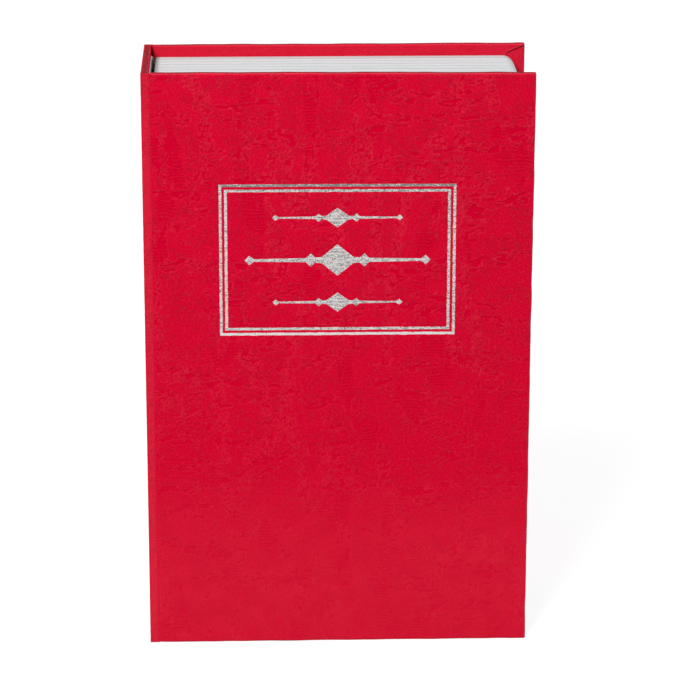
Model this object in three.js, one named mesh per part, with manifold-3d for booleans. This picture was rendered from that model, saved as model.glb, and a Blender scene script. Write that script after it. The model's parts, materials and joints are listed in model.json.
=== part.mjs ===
// A strong box disguised as a book.
// Units are millimetres and +Z is up. The book stands on its tail edges with its front cover facing -Y,
// its spine at -X and its fore-edge at +X. The origin is under the middle of the book.

import * as THREE from 'three';
import { mergeVertices } from 'three/addons/utils/BufferGeometryUtils.js';
import Module from 'manifold-3d';

const wasm = await Module();
wasm.setup();

// Closed book, over its covers.
const bookWidth = 155;
const bookThickness = 55;
const bookHeight = 240;

// Case: boards wrapped in embossed paper and lined with white paper.
const boardThickness = 2;
const wrapThickness = 0.4;
const liningThickness = 0.3;
const glueLine = 0.05;
const turnInWidth = 15;
const hingeStripWidth = 4;
const foldOpening = 0.6;
const endpaperMargin = 6;
const spineLiningMargin = 4;
const spineLiningInset = 1;

// Silver foil on the front cover: a double frame round three tapered rules.
const foilLineWidth = 1.25;
const foilLineGap = 0.9;
const foilFrameWidth = 94.2;
const foilFrameHeight = 62.7;
const foilFrameFromSpine = 30;
const foilFrameFromHead = 44.8;
const foilClearance = 0.05;
const foilDepthShare = 0.5;
const middleRuleLength = 74;
const middleRuleHeight = 13;
const outerRuleLength = 52;
const outerRuleHeight = 8;
const ruleSpacing = 17.5;

// White moulding that stands for the pages.
const headSquare = 4.7;
const foreEdgeSquare = 4.2;
const spineSlot = 1.3;
const coverGap = 0.55;
const pageCornerRadius = 5;
const pageWall = 2.4;
const pageBorder = 9;
const pageSpineBorder = 6;
const pageGroovePitch = 5;
const pageGrooveWidth = 1.3;
const pageGrooveDepth = 0.5;
const webThickness = 2;
const lidRecessDepth = 4.2;
const recessClearance = 0.5;

// Steel box and its lid, folded from one gauge of sheet.
const sheetThickness = 1;
const seatGap = 0.05;
const rimWidth = 6;
const hingeRimWidth = 10;
const lidGap = 0.3;
const lidMargin = 1;
const lidReturnDepth = 6;
const lidReturnClearance = 1.2;
const bodyClearance = 0.4;

// Two butt hinges that carry the lid.
const knuckleRadius = 1.6;
const pinRadius = 0.8;
const pinClearance = 0.2;
const pinHeadRadius = 1.5;
const pinHeadThickness = 0.5;
const leafThickness = 0.6;
const leafLength = 5;
const hingeHeight = 30;
const hingeInset = 30;
const knuckleGap = 0.4;

// Cam lock in the lid.
const bezelRadius = 10.5;
const bezelThickness = 1.6;
const barrelRadius = 8;
const barrelLength = 12;
const lockClearance = 0.3;
const washerWidth = 2.6;
const washerThickness = 0.8;
const nutAcrossFlats = 20;
const nutThickness = 3;
const plugRadius = 5.2;
const tenonWidth = 6;
const keywayWidth = 1.4;
const keywayHeight = 6.6;
const keywayDepth = 6;
const camThickness = 2;
const camWidth = 10;
const camReach = 16;
const camBite = 4.5;
const camClearance = 0.5;
const camScrewHeadRadius = 3.6;
const camScrewHeadThickness = 2;
const camScrewRadius = 1.5;
const camScrewLength = 6;

// Strike that the cam turns behind.
const strikeThickness = 1.2;
const strikeReach = 7;
const strikeLegLength = 12;
const strikeHeight = 44;
const strikeRivetSpacing = 30;

// Rivets.
const rivetRadius = 1.5;
const rivetHeadRadius = 3;
const rivetHeadThickness = 0.9;
const rivetClearance = 0.15;
const boxRivetInset = 18;

// Fineness of round shapes, and the overrun of a cutting tool.
const roundSegments = 32;
const smallRoundSegments = 20;
const cornerSegments = 8;
const overrun = 1;

// Places that follow from the sizes above.
const spineFaceX = -bookWidth / 2;
const frontFaceY = -bookThickness / 2;
const backFaceY = bookThickness / 2;
const boardFaceDepth = wrapThickness + glueLine;
const coverDepth = 2 * boardFaceDepth + boardThickness;
const linedDepth = coverDepth + glueLine + liningThickness;

const pageSpineX = spineFaceX + linedDepth + spineSlot;
const pageForeX = spineFaceX + bookWidth - foreEdgeSquare;
const pageTailZ = headSquare;
const pageHeadZ = bookHeight - headSquare;
const pageFrontY = frontFaceY + linedDepth + coverGap;
const pageBackY = backFaceY - linedDepth - seatGap;

const recessSpineX = pageSpineX + pageSpineBorder;
const recessForeX = pageForeX - pageBorder;
const recessTailZ = pageTailZ + pageBorder;
const recessHeadZ = pageHeadZ - pageBorder;
const webFrontY = pageFrontY + lidRecessDepth;

const rimSpineX = recessSpineX + recessClearance;
const rimForeX = recessForeX - recessClearance;
const rimTailZ = recessTailZ + recessClearance;
const rimHeadZ = recessHeadZ - recessClearance;
const rimFrontY = webFrontY - seatGap - sheetThickness;

const boxSpineX = rimSpineX + hingeRimWidth;
const boxForeX = rimForeX - rimWidth;
const boxTailZ = rimTailZ + rimWidth;
const boxHeadZ = rimHeadZ - rimWidth;
const boxBackY = pageBackY;
const boxInnerForeX = boxForeX - sheetThickness;
const boxInnerBackY = boxBackY - sheetThickness;

const lidFrontY = rimFrontY - lidGap - sheetThickness;
const lidAxisX = rimSpineX + leafLength + knuckleRadius + lidMargin;
const lidAxisY = rimFrontY - seatGap - knuckleRadius;
const lidMiddleZ = (rimTailZ + rimHeadZ) / 2;

const camFrontFromLid = barrelLength + camClearance;
const strikeEdgeX = boxInnerForeX - seatGap - strikeThickness - strikeReach;
const strikeFrontFromLid = camFrontFromLid - camClearance - strikeThickness;
const lockX = strikeEdgeX + camBite - camReach;

// Finishes, with their colours as they look in daylight.
const finishes = {
  redPaper: { color: 0xcf1230, roughness: 0.5, metalness: 0 },
  greyBoard: { color: 0x8c8378, roughness: 0.9, metalness: 0 },
  whitePaper: { color: 0xeceae4, roughness: 0.85, metalness: 0 },
  silverFoil: { color: 0xc4c2c4, roughness: 0.3, metalness: 0.9 },
  whitePlastic: { color: 0xdedfe2, roughness: 0.4, metalness: 0 },
  blackPaint: { color: 0x1d1d1f, roughness: 0.5, metalness: 0.2 },
  chrome: { color: 0xc8cacc, roughness: 0.18, metalness: 1 },
  zincSteel: { color: 0xa9abac, roughness: 0.4, metalness: 0.9 },
  aluminium: { color: 0xb9bbbe, roughness: 0.45, metalness: 0.8 },
};

// Solids.

function solidFrom(geometry) {
  const plain = geometry.index ? geometry.toNonIndexed() : geometry.clone();
  plain.deleteAttribute('normal');
  plain.deleteAttribute('uv');
  const merged = mergeVertices(plain);
  const vertProperties = new Float32Array(merged.attributes.position.array);
  const triVerts = new Uint32Array(merged.index.array);
  return new wasm.Manifold(new wasm.Mesh({ numProp: 3, vertProperties, triVerts }));
}

function geometryFrom(solid) {
  const mesh = solid.getMesh();
  const geometry = new THREE.BufferGeometry();
  geometry.setAttribute('position', new THREE.BufferAttribute(new Float32Array(mesh.vertProperties), 3));
  geometry.setIndex(new THREE.BufferAttribute(new Uint32Array(mesh.triVerts), 1));
  geometry.computeVertexNormals();
  return geometry;
}

function minus(solid, ...tools) {
  return tools.reduce((rest, tool) => rest.subtract(tool), solid);
}

function plus(solid, ...others) {
  return others.reduce((whole, other) => whole.add(other), solid);
}

// A block between two planes on each axis.
function block([x0, x1], [y0, y1], [z0, z1]) {
  const geometry = new THREE.BoxGeometry(x1 - x0, y1 - y0, z1 - z0);
  geometry.translate((x0 + x1) / 2, (y0 + y1) / 2, (z0 + z1) / 2);
  return solidFrom(geometry);
}

// A disc or rod round the Y axis, from y0 to y1.
function rodAlongY(radius, y0, y1, segments = roundSegments) {
  const geometry = new THREE.CylinderGeometry(radius, radius, y1 - y0, segments);
  geometry.translate(0, (y0 + y1) / 2, 0);
  return solidFrom(geometry);
}

// A rod round the Z axis, from z0 to z1.
function rodAlongZ(radius, z0, z1, segments = smallRoundSegments) {
  const geometry = new THREE.CylinderGeometry(radius, radius, z1 - z0, segments);
  geometry.rotateX(Math.PI / 2);
  geometry.translate(0, 0, (z0 + z1) / 2);
  return solidFrom(geometry);
}

// An outline drawn in x and z, given thickness from y0 to y1.
function plateAlongY(shape, y0, y1) {
  const geometry = new THREE.ExtrudeGeometry(shape, {
    depth: y1 - y0,
    bevelEnabled: false,
    curveSegments: cornerSegments,
  });
  geometry.rotateX(Math.PI / 2);
  geometry.translate(0, y1, 0);
  return solidFrom(geometry);
}

function outlineFrom(points) {
  return new THREE.Shape(points.map(([x, z]) => new THREE.Vector2(x, z)));
}

// The page moulding's outline, round at its two fore-edge corners and moved in by the inset there.
function pageOutline(spineX, inset) {
  const foreX = pageForeX - inset;
  const tailZ = pageTailZ + inset;
  const headZ = pageHeadZ - inset;
  const radius = Math.max(pageCornerRadius - inset, inset);
  const shape = new THREE.Shape();
  shape.moveTo(spineX, tailZ);
  shape.lineTo(foreX - radius, tailZ);
  shape.absarc(foreX - radius, tailZ + radius, radius, -Math.PI / 2, 0, false);
  shape.lineTo(foreX, headZ - radius);
  shape.absarc(foreX - radius, headZ - radius, radius, 0, Math.PI / 2, false);
  shape.lineTo(spineX, headZ);
  shape.closePath();
  return shape;
}

// Scene graph.

function mesh(name, solid, finish) {
  const part = new THREE.Mesh(geometryFrom(solid), new THREE.MeshStandardMaterial(finish));
  part.name = name;
  return part;
}

function groupAt(x, y, z, ...children) {
  const group = new THREE.Group();
  group.position.set(x, y, z);
  group.add(...children);
  return group;
}

// Covers. Each is drawn from its corner fold: x runs to the fore-edge and depth runs into the book.
// The front cover's depth runs along +Y and the back cover's along -Y.

function depthSpan(inward, near, far) {
  return inward > 0 ? [near, far] : [-far, -near];
}

function coverBoard(inward) {
  return block(
    [hingeStripWidth, bookWidth - boardFaceDepth],
    depthSpan(inward, boardFaceDepth, boardFaceDepth + boardThickness),
    [boardFaceDepth, bookHeight - boardFaceDepth],
  );
}

// The wrap is one sheet: it covers the outside, turns over three edges and ends on the inner face.
// Beside the spine it runs on alone as the hinge strip.
function coverWrap(inward) {
  const sleeve = block([hingeStripWidth, bookWidth], depthSpan(inward, 0, coverDepth), [0, bookHeight]);
  const inside = block(
    [hingeStripWidth - overrun, bookWidth - wrapThickness],
    depthSpan(inward, wrapThickness, coverDepth - wrapThickness),
    [wrapThickness, bookHeight - wrapThickness],
  );
  const betweenTurnIns = block(
    [hingeStripWidth - overrun, bookWidth - turnInWidth],
    depthSpan(inward, coverDepth - wrapThickness - boardThickness / 2, coverDepth + overrun),
    [turnInWidth, bookHeight - turnInWidth],
  );
  const strip = block(
    [foldOpening, 2 * hingeStripWidth],
    depthSpan(inward, 0, wrapThickness),
    [0, bookHeight],
  );
  return plus(minus(sleeve, inside, betweenTurnIns), strip);
}

function coverLining(inward) {
  return block(
    [hingeStripWidth, bookWidth - endpaperMargin],
    depthSpan(inward, linedDepth - liningThickness, linedDepth),
    [endpaperMargin, bookHeight - endpaperMargin],
  );
}

// Foil. The shapes are drawn round the middle of the frame, and each lies in a channel pressed into the wrap.

const foilMiddleX = foilFrameFromSpine + foilFrameWidth / 2;
const foilMiddleZ = bookHeight - foilFrameFromHead - foilFrameHeight / 2;
const channelDepth = wrapThickness * foilDepthShare;

function frameRing(inset, growth, depth) {
  const halfWidth = foilFrameWidth / 2 - inset;
  const halfHeight = foilFrameHeight / 2 - inset;
  const outer = block(
    [-halfWidth - growth, halfWidth + growth],
    depth,
    [-halfHeight - growth, halfHeight + growth],
  );
  const innerHalfWidth = halfWidth - foilLineWidth - growth;
  const innerHalfHeight = halfHeight - foilLineWidth - growth;
  const inner = block(
    [-innerHalfWidth, innerHalfWidth],
    [depth[0] - overrun, depth[1] + overrun],
    [-innerHalfHeight, innerHalfHeight],
  );
  return minus(outer, inner);
}

// A tapered rule: a lozenge in the middle, a rule to each side and a small lozenge at each end.
// The shares are of half its length and half its height, from the right-hand end to the middle.
const taperedRuleShares = [
  [1, 0],
  [0.95, 0.3],
  [0.9, 0.08],
  [0.34, 0.13],
  [0.29, 0.42],
  [0.24, 0.16],
  [0.17, 0.2],
  [0, 1],
];

function taperedRule(length, height, middleZ, growth, depth) {
  const quarter = taperedRuleShares.map(([along, up]) => [
    along * (length / 2 + growth),
    up * height / 2 + (up > 0 ? growth : 0),
  ]);
  const upper = [...quarter, ...quarter.slice(0, -1).reverse().map(([x, z]) => [-x, z])];
  const lower = upper.slice(1, -1).reverse().map(([x, z]) => [x, -z]);
  const shape = outlineFrom([...upper, ...lower].map(([x, z]) => [x, z + middleZ]));
  return plateAlongY(shape, ...depth);
}

const foilMakers = {
  title_frame_outer: (growth, depth) => frameRing(0, growth, depth),
  title_frame_inner: (growth, depth) => frameRing(foilLineWidth + foilLineGap, growth, depth),
  title_rule_top: (growth, depth) => taperedRule(outerRuleLength, outerRuleHeight, ruleSpacing, growth, depth),
  title_rule_middle: (growth, depth) => taperedRule(middleRuleLength, middleRuleHeight, 0, growth, depth),
  title_rule_bottom: (growth, depth) => taperedRule(outerRuleLength, outerRuleHeight, -ruleSpacing, growth, depth),
};

function foilMeshes() {
  const depth = [foilClearance, channelDepth - foilClearance];
  return Object.entries(foilMakers).map(([name, make]) => mesh(name, make(0, depth), finishes.silverFoil));
}

function frontCoverWrap() {
  const channels = Object.values(foilMakers).map((make) =>
    make(foilClearance, [-overrun, channelDepth]).translate(foilMiddleX, 0, foilMiddleZ));
  return minus(coverWrap(1), ...channels);
}

function frontCover() {
  return groupAt(
    spineFaceX, frontFaceY, 0,
    mesh('front_board', coverBoard(1), finishes.greyBoard),
    mesh('front_cover_wrap', frontCoverWrap(), finishes.redPaper),
    mesh('front_endpaper', coverLining(1), finishes.whitePaper),
    groupAt(foilMiddleX, 0, foilMiddleZ, ...foilMeshes()),
  );
}

// Spine. It is drawn from the back corner fold: x runs into the book and y runs from there to the front.

const spineFoldY = [foldOpening - bookThickness, -foldOpening];
const spineBoardY = [spineFoldY[0] + glueLine, spineFoldY[1] - glueLine];
const spineLiningY = [linedDepth + spineLiningInset - bookThickness, -linedDepth - spineLiningInset];

function spineWrap() {
  const sleeve = block([0, coverDepth], spineFoldY, [0, bookHeight]);
  const inside = block(
    [wrapThickness, coverDepth - wrapThickness],
    [spineFoldY[0] - overrun, spineFoldY[1] + overrun],
    [wrapThickness, bookHeight - wrapThickness],
  );
  const betweenTurnIns = block(
    [coverDepth - wrapThickness - boardThickness / 2, coverDepth + overrun],
    [spineFoldY[0] - overrun, spineFoldY[1] + overrun],
    [turnInWidth, bookHeight - turnInWidth],
  );
  return minus(sleeve, inside, betweenTurnIns);
}

function spine() {
  const board = block(
    [boardFaceDepth, boardFaceDepth + boardThickness],
    spineBoardY,
    [boardFaceDepth, bookHeight - boardFaceDepth],
  );
  const lining = block(
    [linedDepth - liningThickness, linedDepth],
    spineLiningY,
    [spineLiningMargin, bookHeight - spineLiningMargin],
  );
  return groupAt(
    spineFaceX, backFaceY, 0,
    mesh('spine_board', board, finishes.greyBoard),
    mesh('spine_wrap', spineWrap(), finishes.redPaper),
    mesh('spine_lining', lining, finishes.whitePaper),
  );
}

// Rivets that hold the box to the back board. Each has a head in the box and a tail sunk in the board.

const boxRivetTailY = backFaceY - boardFaceDepth;
const boxRivetPlaces = {
  box_rivet_tail_spine: [boxSpineX + boxRivetInset, boxTailZ + boxRivetInset],
  box_rivet_tail_fore: [boxForeX - boxRivetInset, boxTailZ + boxRivetInset],
  box_rivet_head_spine: [boxSpineX + boxRivetInset, boxHeadZ - boxRivetInset],
  box_rivet_head_fore: [boxForeX - boxRivetInset, boxHeadZ - boxRivetInset],
};

function boxRivet() {
  const headY = boxInnerBackY - seatGap;
  return plus(
    rodAlongY(rivetHeadRadius, headY - rivetHeadThickness, headY, smallRoundSegments),
    rodAlongY(rivetRadius, headY - rivetHeadThickness / 2, boxRivetTailY, smallRoundSegments),
    rodAlongY(rivetHeadRadius, boxRivetTailY - rivetHeadThickness, boxRivetTailY, smallRoundSegments),
  );
}

function boxRivetHoles() {
  const radius = rivetRadius + rivetClearance;
  return Object.values(boxRivetPlaces).map(([x, z]) =>
    rodAlongY(radius, boxInnerBackY - overrun, backFaceY - wrapThickness, smallRoundSegments).translate(x, 0, z));
}

function boxRivetSinks() {
  const radius = rivetHeadRadius + rivetClearance;
  const floorY = boxRivetTailY - rivetHeadThickness - rivetClearance;
  return Object.values(boxRivetPlaces).map(([x, z]) =>
    rodAlongY(radius, floorY, backFaceY - wrapThickness, smallRoundSegments).translate(x, 0, z));
}

function backCover() {
  const place = (solid) => solid.translate(-spineFaceX, -backFaceY, 0);
  const holes = boxRivetHoles().map(place);
  const sinks = boxRivetSinks().map(place);
  return groupAt(
    spineFaceX, backFaceY, 0,
    mesh('back_board', minus(coverBoard(-1), ...holes, ...sinks), finishes.greyBoard),
    mesh('back_cover_wrap', coverWrap(-1), finishes.redPaper),
    mesh('back_endpaper', minus(coverLining(-1), ...holes), finishes.whitePaper),
  );
}

// Page moulding: a skirt with page grooves, a border round the lid and a web that the box hangs in.

function pageGroove(middleY) {
  const width = [middleY - pageGrooveWidth / 2, middleY + pageGrooveWidth / 2];
  const around = plateAlongY(pageOutline(pageSpineX - overrun, -overrun), ...width);
  const kept = plateAlongY(
    pageOutline(pageSpineX - 2 * overrun, pageGrooveDepth),
    width[0] - overrun,
    width[1] + overrun,
  );
  return minus(around, kept);
}

function pageBlock() {
  const depth = pageBackY - pageFrontY;
  const grooveCount = Math.max(Math.round(depth / pageGroovePitch) - 1, 1);
  const firstGroove = (pageFrontY + pageBackY - (grooveCount - 1) * pageGroovePitch) / 2;
  const grooves = Array.from({ length: grooveCount }, (_, i) => pageGroove(firstGroove + i * pageGroovePitch));
  const recess = block(
    [recessSpineX, recessForeX],
    [pageFrontY - overrun, webFrontY],
    [recessTailZ, recessHeadZ],
  );
  const window = block(
    [boxSpineX - bodyClearance, boxForeX + bodyClearance],
    [webFrontY - overrun, pageBackY + overrun],
    [boxTailZ - bodyClearance, boxHeadZ + bodyClearance],
  );
  const hollow = block(
    [pageSpineX + pageWall, pageForeX - pageWall - pageGrooveDepth],
    [webFrontY + webThickness, pageBackY + overrun],
    [pageTailZ + pageWall + pageGrooveDepth, pageHeadZ - pageWall - pageGrooveDepth],
  );
  const blank = plateAlongY(pageOutline(pageSpineX, 0), pageFrontY, pageBackY);
  return minus(blank, recess, window, hollow, ...grooves);
}

// Steel box: a tray with its rim turned out over the moulding's web.

const strikeRivetZ = [-strikeRivetSpacing / 2, strikeRivetSpacing / 2];
const strikeLegY = [lidFrontY + strikeFrontFromLid, lidFrontY + strikeFrontFromLid + strikeLegLength];
const strikeRivetY = lidFrontY + strikeFrontFromLid + strikeThickness + strikeLegLength / 2;

function strikeRivetHoles(z) {
  const rod = rodAlongZ(rivetRadius + rivetClearance, -overrun - strikeThickness, overrun + sheetThickness);
  return rod.rotate([0, 90, 0]).translate(boxInnerForeX, strikeRivetY, z);
}

function boxShell() {
  const rim = block([rimSpineX, rimForeX], [rimFrontY, rimFrontY + sheetThickness], [rimTailZ, rimHeadZ]);
  const walls = block([boxSpineX, boxForeX], [rimFrontY, boxBackY], [boxTailZ, boxHeadZ]);
  const inside = block(
    [boxSpineX + sheetThickness, boxInnerForeX],
    [rimFrontY - overrun, boxInnerBackY],
    [boxTailZ + sheetThickness, boxHeadZ - sheetThickness],
  );
  const strikeHoles = strikeRivetZ.map((z) => strikeRivetHoles(lidMiddleZ + z));
  return minus(plus(rim, walls), inside, ...boxRivetHoles(), ...strikeHoles);
}

function strikePlate() {
  const z = [lidMiddleZ - strikeHeight / 2, lidMiddleZ + strikeHeight / 2];
  const wallX = boxInnerForeX - seatGap;
  const leg = block([wallX - strikeThickness, wallX], strikeLegY, z);
  const catchLip = block([strikeEdgeX, wallX], [strikeLegY[0], strikeLegY[0] + strikeThickness], z);
  return minus(plus(leg, catchLip), ...strikeRivetZ.map((place) => strikeRivetHoles(lidMiddleZ + place)));
}

// A rivet lying along X, with its head on the strike and its tail outside the box wall.
function strikeRivet() {
  const headX = boxInnerForeX - 2 * seatGap - strikeThickness;
  const tailX = boxForeX + seatGap;
  const upright = plus(
    rodAlongZ(rivetHeadRadius, headX - rivetHeadThickness, headX),
    rodAlongZ(rivetRadius, headX - rivetHeadThickness / 2, tailX + rivetHeadThickness / 2),
    rodAlongZ(rivetHeadRadius, tailX, tailX + rivetHeadThickness),
  );
  return upright.rotate([0, 90, 0]);
}

function strongBox() {
  const boxRivets = Object.entries(boxRivetPlaces).map(([name, [x, z]]) =>
    groupAt(x, 0, z, mesh(name, boxRivet(), finishes.aluminium)));
  const strikeRivets = ['strike_rivet_lower', 'strike_rivet_upper'].map((name, i) =>
    groupAt(0, strikeRivetY, lidMiddleZ + strikeRivetZ[i], mesh(name, strikeRivet(), finishes.aluminium)));
  return groupAt(
    0, 0, 0,
    mesh('page_block', pageBlock(), finishes.whitePlastic),
    mesh('box_shell', boxShell(), finishes.blackPaint),
    mesh('strike_plate', strikePlate(), finishes.zincSteel),
    ...boxRivets,
    ...strikeRivets,
  );
}

// Hinges, drawn round the pin. The box leaf has the two end knuckles and the lid leaf the middle one.

const knuckleHeight = hingeHeight / 3;
const hingePlaces = {
  upper_hinge: rimHeadZ - hingeInset - hingeHeight,
  lower_hinge: rimTailZ + hingeInset,
};

function knuckles(solid, spans) {
  const rings = spans.map(([z0, z1]) => rodAlongZ(knuckleRadius, z0, z1));
  const bore = rodAlongZ(pinRadius + pinClearance, -overrun, hingeHeight + overrun);
  return minus(plus(solid, ...rings), bore);
}

function boxLeaf() {
  const farX = -knuckleRadius - leafLength;
  const nearX = -knuckleRadius - knuckleGap;
  const y = [knuckleRadius - leafThickness, knuckleRadius];
  const spans = [[0, knuckleHeight], [2 * knuckleHeight, hingeHeight]];
  const tabs = spans.map((z) => block([farX, 0], y, z));
  return knuckles(plus(block([farX, nearX], y, [0, hingeHeight]), ...tabs), spans);
}

function lidLeaf() {
  const nearX = knuckleRadius + knuckleGap;
  const farX = knuckleRadius + leafLength;
  const backY = knuckleRadius + seatGap - lidGap - sheetThickness - seatGap;
  const y = [backY - leafThickness, backY];
  const span = [knuckleHeight + knuckleGap, 2 * knuckleHeight - knuckleGap];
  const tab = block([pinRadius, farX], y, span);
  return knuckles(plus(block([nearX, farX], y, [0, hingeHeight]), tab), [span]);
}

function hingePin() {
  return plus(
    rodAlongZ(pinRadius, -seatGap, hingeHeight + 2 * seatGap),
    rodAlongZ(pinHeadRadius, hingeHeight + seatGap, hingeHeight + seatGap + pinHeadThickness),
  );
}

function hinges() {
  return Object.entries(hingePlaces).map(([name, z]) => groupAt(
    lidAxisX, lidAxisY, z,
    mesh(`${name}_box_leaf`, boxLeaf(), finishes.blackPaint),
    mesh(`${name}_lid_leaf`, lidLeaf(), finishes.blackPaint),
    mesh(`${name}_pin`, hingePin(), finishes.zincSteel),
  ));
}

// Lid: a shallow pan with its plate over the box's rim.

function lid() {
  const plateX = [lidAxisX + knuckleRadius + knuckleGap, rimForeX - lidMargin];
  const plateZ = [rimTailZ + lidMargin, rimHeadZ - lidMargin];
  const backY = lidFrontY + sheetThickness;
  const plate = block(plateX, [lidFrontY, backY], plateZ);
  const wallInset = sheetThickness + lidReturnClearance;
  const panX = [boxSpineX + wallInset, boxForeX - wallInset];
  const panZ = [boxTailZ + wallInset, boxHeadZ - wallInset];
  const pan = block(panX, [lidFrontY, backY + lidReturnDepth], panZ);
  const panInside = block(
    [panX[0] + sheetThickness, panX[1] - sheetThickness],
    [backY, backY + lidReturnDepth + overrun],
    [panZ[0] + sheetThickness, panZ[1] - sheetThickness],
  );
  const lockHole = rodAlongY(barrelRadius + lockClearance, -overrun, sheetThickness + overrun);
  return minus(plus(plate, pan), panInside, lockHole.translate(lockX, lidFrontY, lidMiddleZ));
}

// Lock, drawn round its key axis from the lid's outer face: y runs into the box.

function ring(radius, boreRadius, y0, y1) {
  return minus(rodAlongY(radius, y0, y1), rodAlongY(boreRadius, y0 - overrun, y1 + overrun));
}

const boreRadius = plugRadius + lockClearance;
const bezelFront = -seatGap - bezelThickness;
const washerFront = sheetThickness + seatGap;
const nutFront = washerFront + washerThickness + seatGap;

function lockBody() {
  const solid = plus(
    rodAlongY(bezelRadius, bezelFront, -seatGap),
    rodAlongY(barrelRadius, bezelFront + bezelThickness / 2, barrelLength),
  );
  return minus(solid, rodAlongY(boreRadius, bezelFront - overrun, barrelLength + overrun));
}

function lockNut() {
  const hexRadius = nutAcrossFlats / 2 / Math.cos(Math.PI / 6);
  const hex = rodAlongY(hexRadius, nutFront, nutFront + nutThickness, 6);
  return minus(hex, rodAlongY(barrelRadius + lockClearance, nutFront - overrun, nutFront + nutThickness + overrun));
}

function lockPlug() {
  const half = tenonWidth / 2;
  const tenonEnd = camFrontFromLid + camThickness;
  const tenon = block([-half, half], [barrelLength - overrun, tenonEnd], [-half, half]);
  const keyway = block(
    [-keywayWidth / 2, keywayWidth / 2],
    [bezelFront - overrun, bezelFront + keywayDepth],
    [-keywayHeight / 2, keywayHeight / 2],
  );
  const screwHole = rodAlongY(
    camScrewRadius + rivetClearance,
    tenonEnd - camScrewLength - seatGap,
    tenonEnd + overrun,
    smallRoundSegments,
  );
  return minus(plus(rodAlongY(plugRadius, bezelFront, barrelLength), tenon), keyway, screwHole);
}

// The cam hangs straight down while the lock is open, and turns to the fore-edge to lock.
function lockCam() {
  const halfWidth = camWidth / 2;
  const y = [camFrontFromLid, camFrontFromLid + camThickness];
  const shape = new THREE.Shape();
  shape.moveTo(-halfWidth, 0);
  shape.lineTo(-halfWidth, halfWidth - camReach);
  shape.absarc(0, halfWidth - camReach, halfWidth, Math.PI, 2 * Math.PI, false);
  shape.lineTo(halfWidth, 0);
  shape.absarc(0, 0, halfWidth, 0, Math.PI, false);
  const half = tenonWidth / 2 + lockClearance;
  const hole = block([-half, half], [y[0] - overrun, y[1] + overrun], [-half, half]);
  return minus(plateAlongY(shape, ...y), hole);
}

function camScrew() {
  const tenonEnd = camFrontFromLid + camThickness;
  const headFront = tenonEnd + seatGap;
  return plus(
    rodAlongY(camScrewRadius, tenonEnd - camScrewLength, headFront + overrun, smallRoundSegments),
    rodAlongY(camScrewHeadRadius, headFront, headFront + camScrewHeadThickness, smallRoundSegments),
  );
}

function lock() {
  const washer = ring(
    barrelRadius + washerWidth,
    barrelRadius + lockClearance,
    washerFront,
    washerFront + washerThickness,
  );
  return groupAt(
    lockX, lidFrontY, lidMiddleZ,
    mesh('lock_body', lockBody(), finishes.chrome),
    mesh('lock_washer', washer, finishes.zincSteel),
    mesh('lock_nut', lockNut(), finishes.zincSteel),
    mesh('lock_plug', lockPlug(), finishes.chrome),
    mesh('lock_cam', lockCam(), finishes.zincSteel),
    mesh('lock_cam_screw', camScrew(), finishes.zincSteel),
  );
}

const bookSafe = groupAt(
  0, 0, 0,
  frontCover(),
  spine(),
  backCover(),
  strongBox(),
  ...hinges(),
  mesh('lid', lid(), finishes.blackPaint),
  lock(),
);
bookSafe.name = 'book_safe';

export default bookSafe;
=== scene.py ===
# The looks of a strong box disguised as a book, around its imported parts.
# Lengths in this file are millimetres, and meshes and lamps are made in metres in the same frame
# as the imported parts: the book stands on its tail edges, its front cover faces -Y, its spine is at -X.

import functools
import json
import math

import bmesh
import bpy
import numpy as np
from bpy.props import FloatProperty, FloatVectorProperty, PointerProperty
from mathutils import Matrix, Vector


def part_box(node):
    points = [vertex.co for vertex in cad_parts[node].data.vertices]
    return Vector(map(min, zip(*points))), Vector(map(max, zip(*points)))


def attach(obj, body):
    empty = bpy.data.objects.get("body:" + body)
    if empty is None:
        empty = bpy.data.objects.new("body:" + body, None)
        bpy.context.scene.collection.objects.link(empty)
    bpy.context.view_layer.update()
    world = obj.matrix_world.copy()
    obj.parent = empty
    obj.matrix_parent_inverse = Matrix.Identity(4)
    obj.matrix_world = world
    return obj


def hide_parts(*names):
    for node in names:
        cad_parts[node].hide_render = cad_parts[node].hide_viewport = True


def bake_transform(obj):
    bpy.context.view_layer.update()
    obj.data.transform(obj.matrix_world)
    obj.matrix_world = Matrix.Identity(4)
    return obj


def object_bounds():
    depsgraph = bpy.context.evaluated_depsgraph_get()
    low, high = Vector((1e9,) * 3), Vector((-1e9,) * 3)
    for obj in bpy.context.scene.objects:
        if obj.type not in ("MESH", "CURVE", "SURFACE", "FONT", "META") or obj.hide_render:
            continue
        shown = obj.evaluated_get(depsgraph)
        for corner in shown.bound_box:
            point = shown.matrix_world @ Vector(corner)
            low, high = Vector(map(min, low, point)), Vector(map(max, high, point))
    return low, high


bl_info = {
    "name": "Book Strong Box",
    "version": (1, 0, 0),
    "blender": (4, 5, 0),
    "location": "View3D > Sidebar > Book Box",
    "description": "Makes the paper case, foil, page moulding and metalwork of a strong box disguised as a book",
    "category": "Object",
}

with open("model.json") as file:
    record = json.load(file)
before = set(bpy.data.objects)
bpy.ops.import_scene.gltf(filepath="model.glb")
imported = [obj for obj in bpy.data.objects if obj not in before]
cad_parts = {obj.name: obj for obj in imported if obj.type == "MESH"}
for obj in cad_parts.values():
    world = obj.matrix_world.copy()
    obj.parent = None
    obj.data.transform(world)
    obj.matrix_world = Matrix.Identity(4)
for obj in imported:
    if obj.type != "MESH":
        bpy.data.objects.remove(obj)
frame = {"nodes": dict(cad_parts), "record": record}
CAD_BOX = [list(corner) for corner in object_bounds()]

MM = 0.001


def box(node):
    """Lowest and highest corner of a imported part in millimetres."""
    low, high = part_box(node)
    return np.array(low) / MM, np.array(high) / MM


def outline(node):
    """Low x, high x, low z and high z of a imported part."""
    low, high = box(node)
    return np.array([low[0], high[0], low[2], high[2]])


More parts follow.
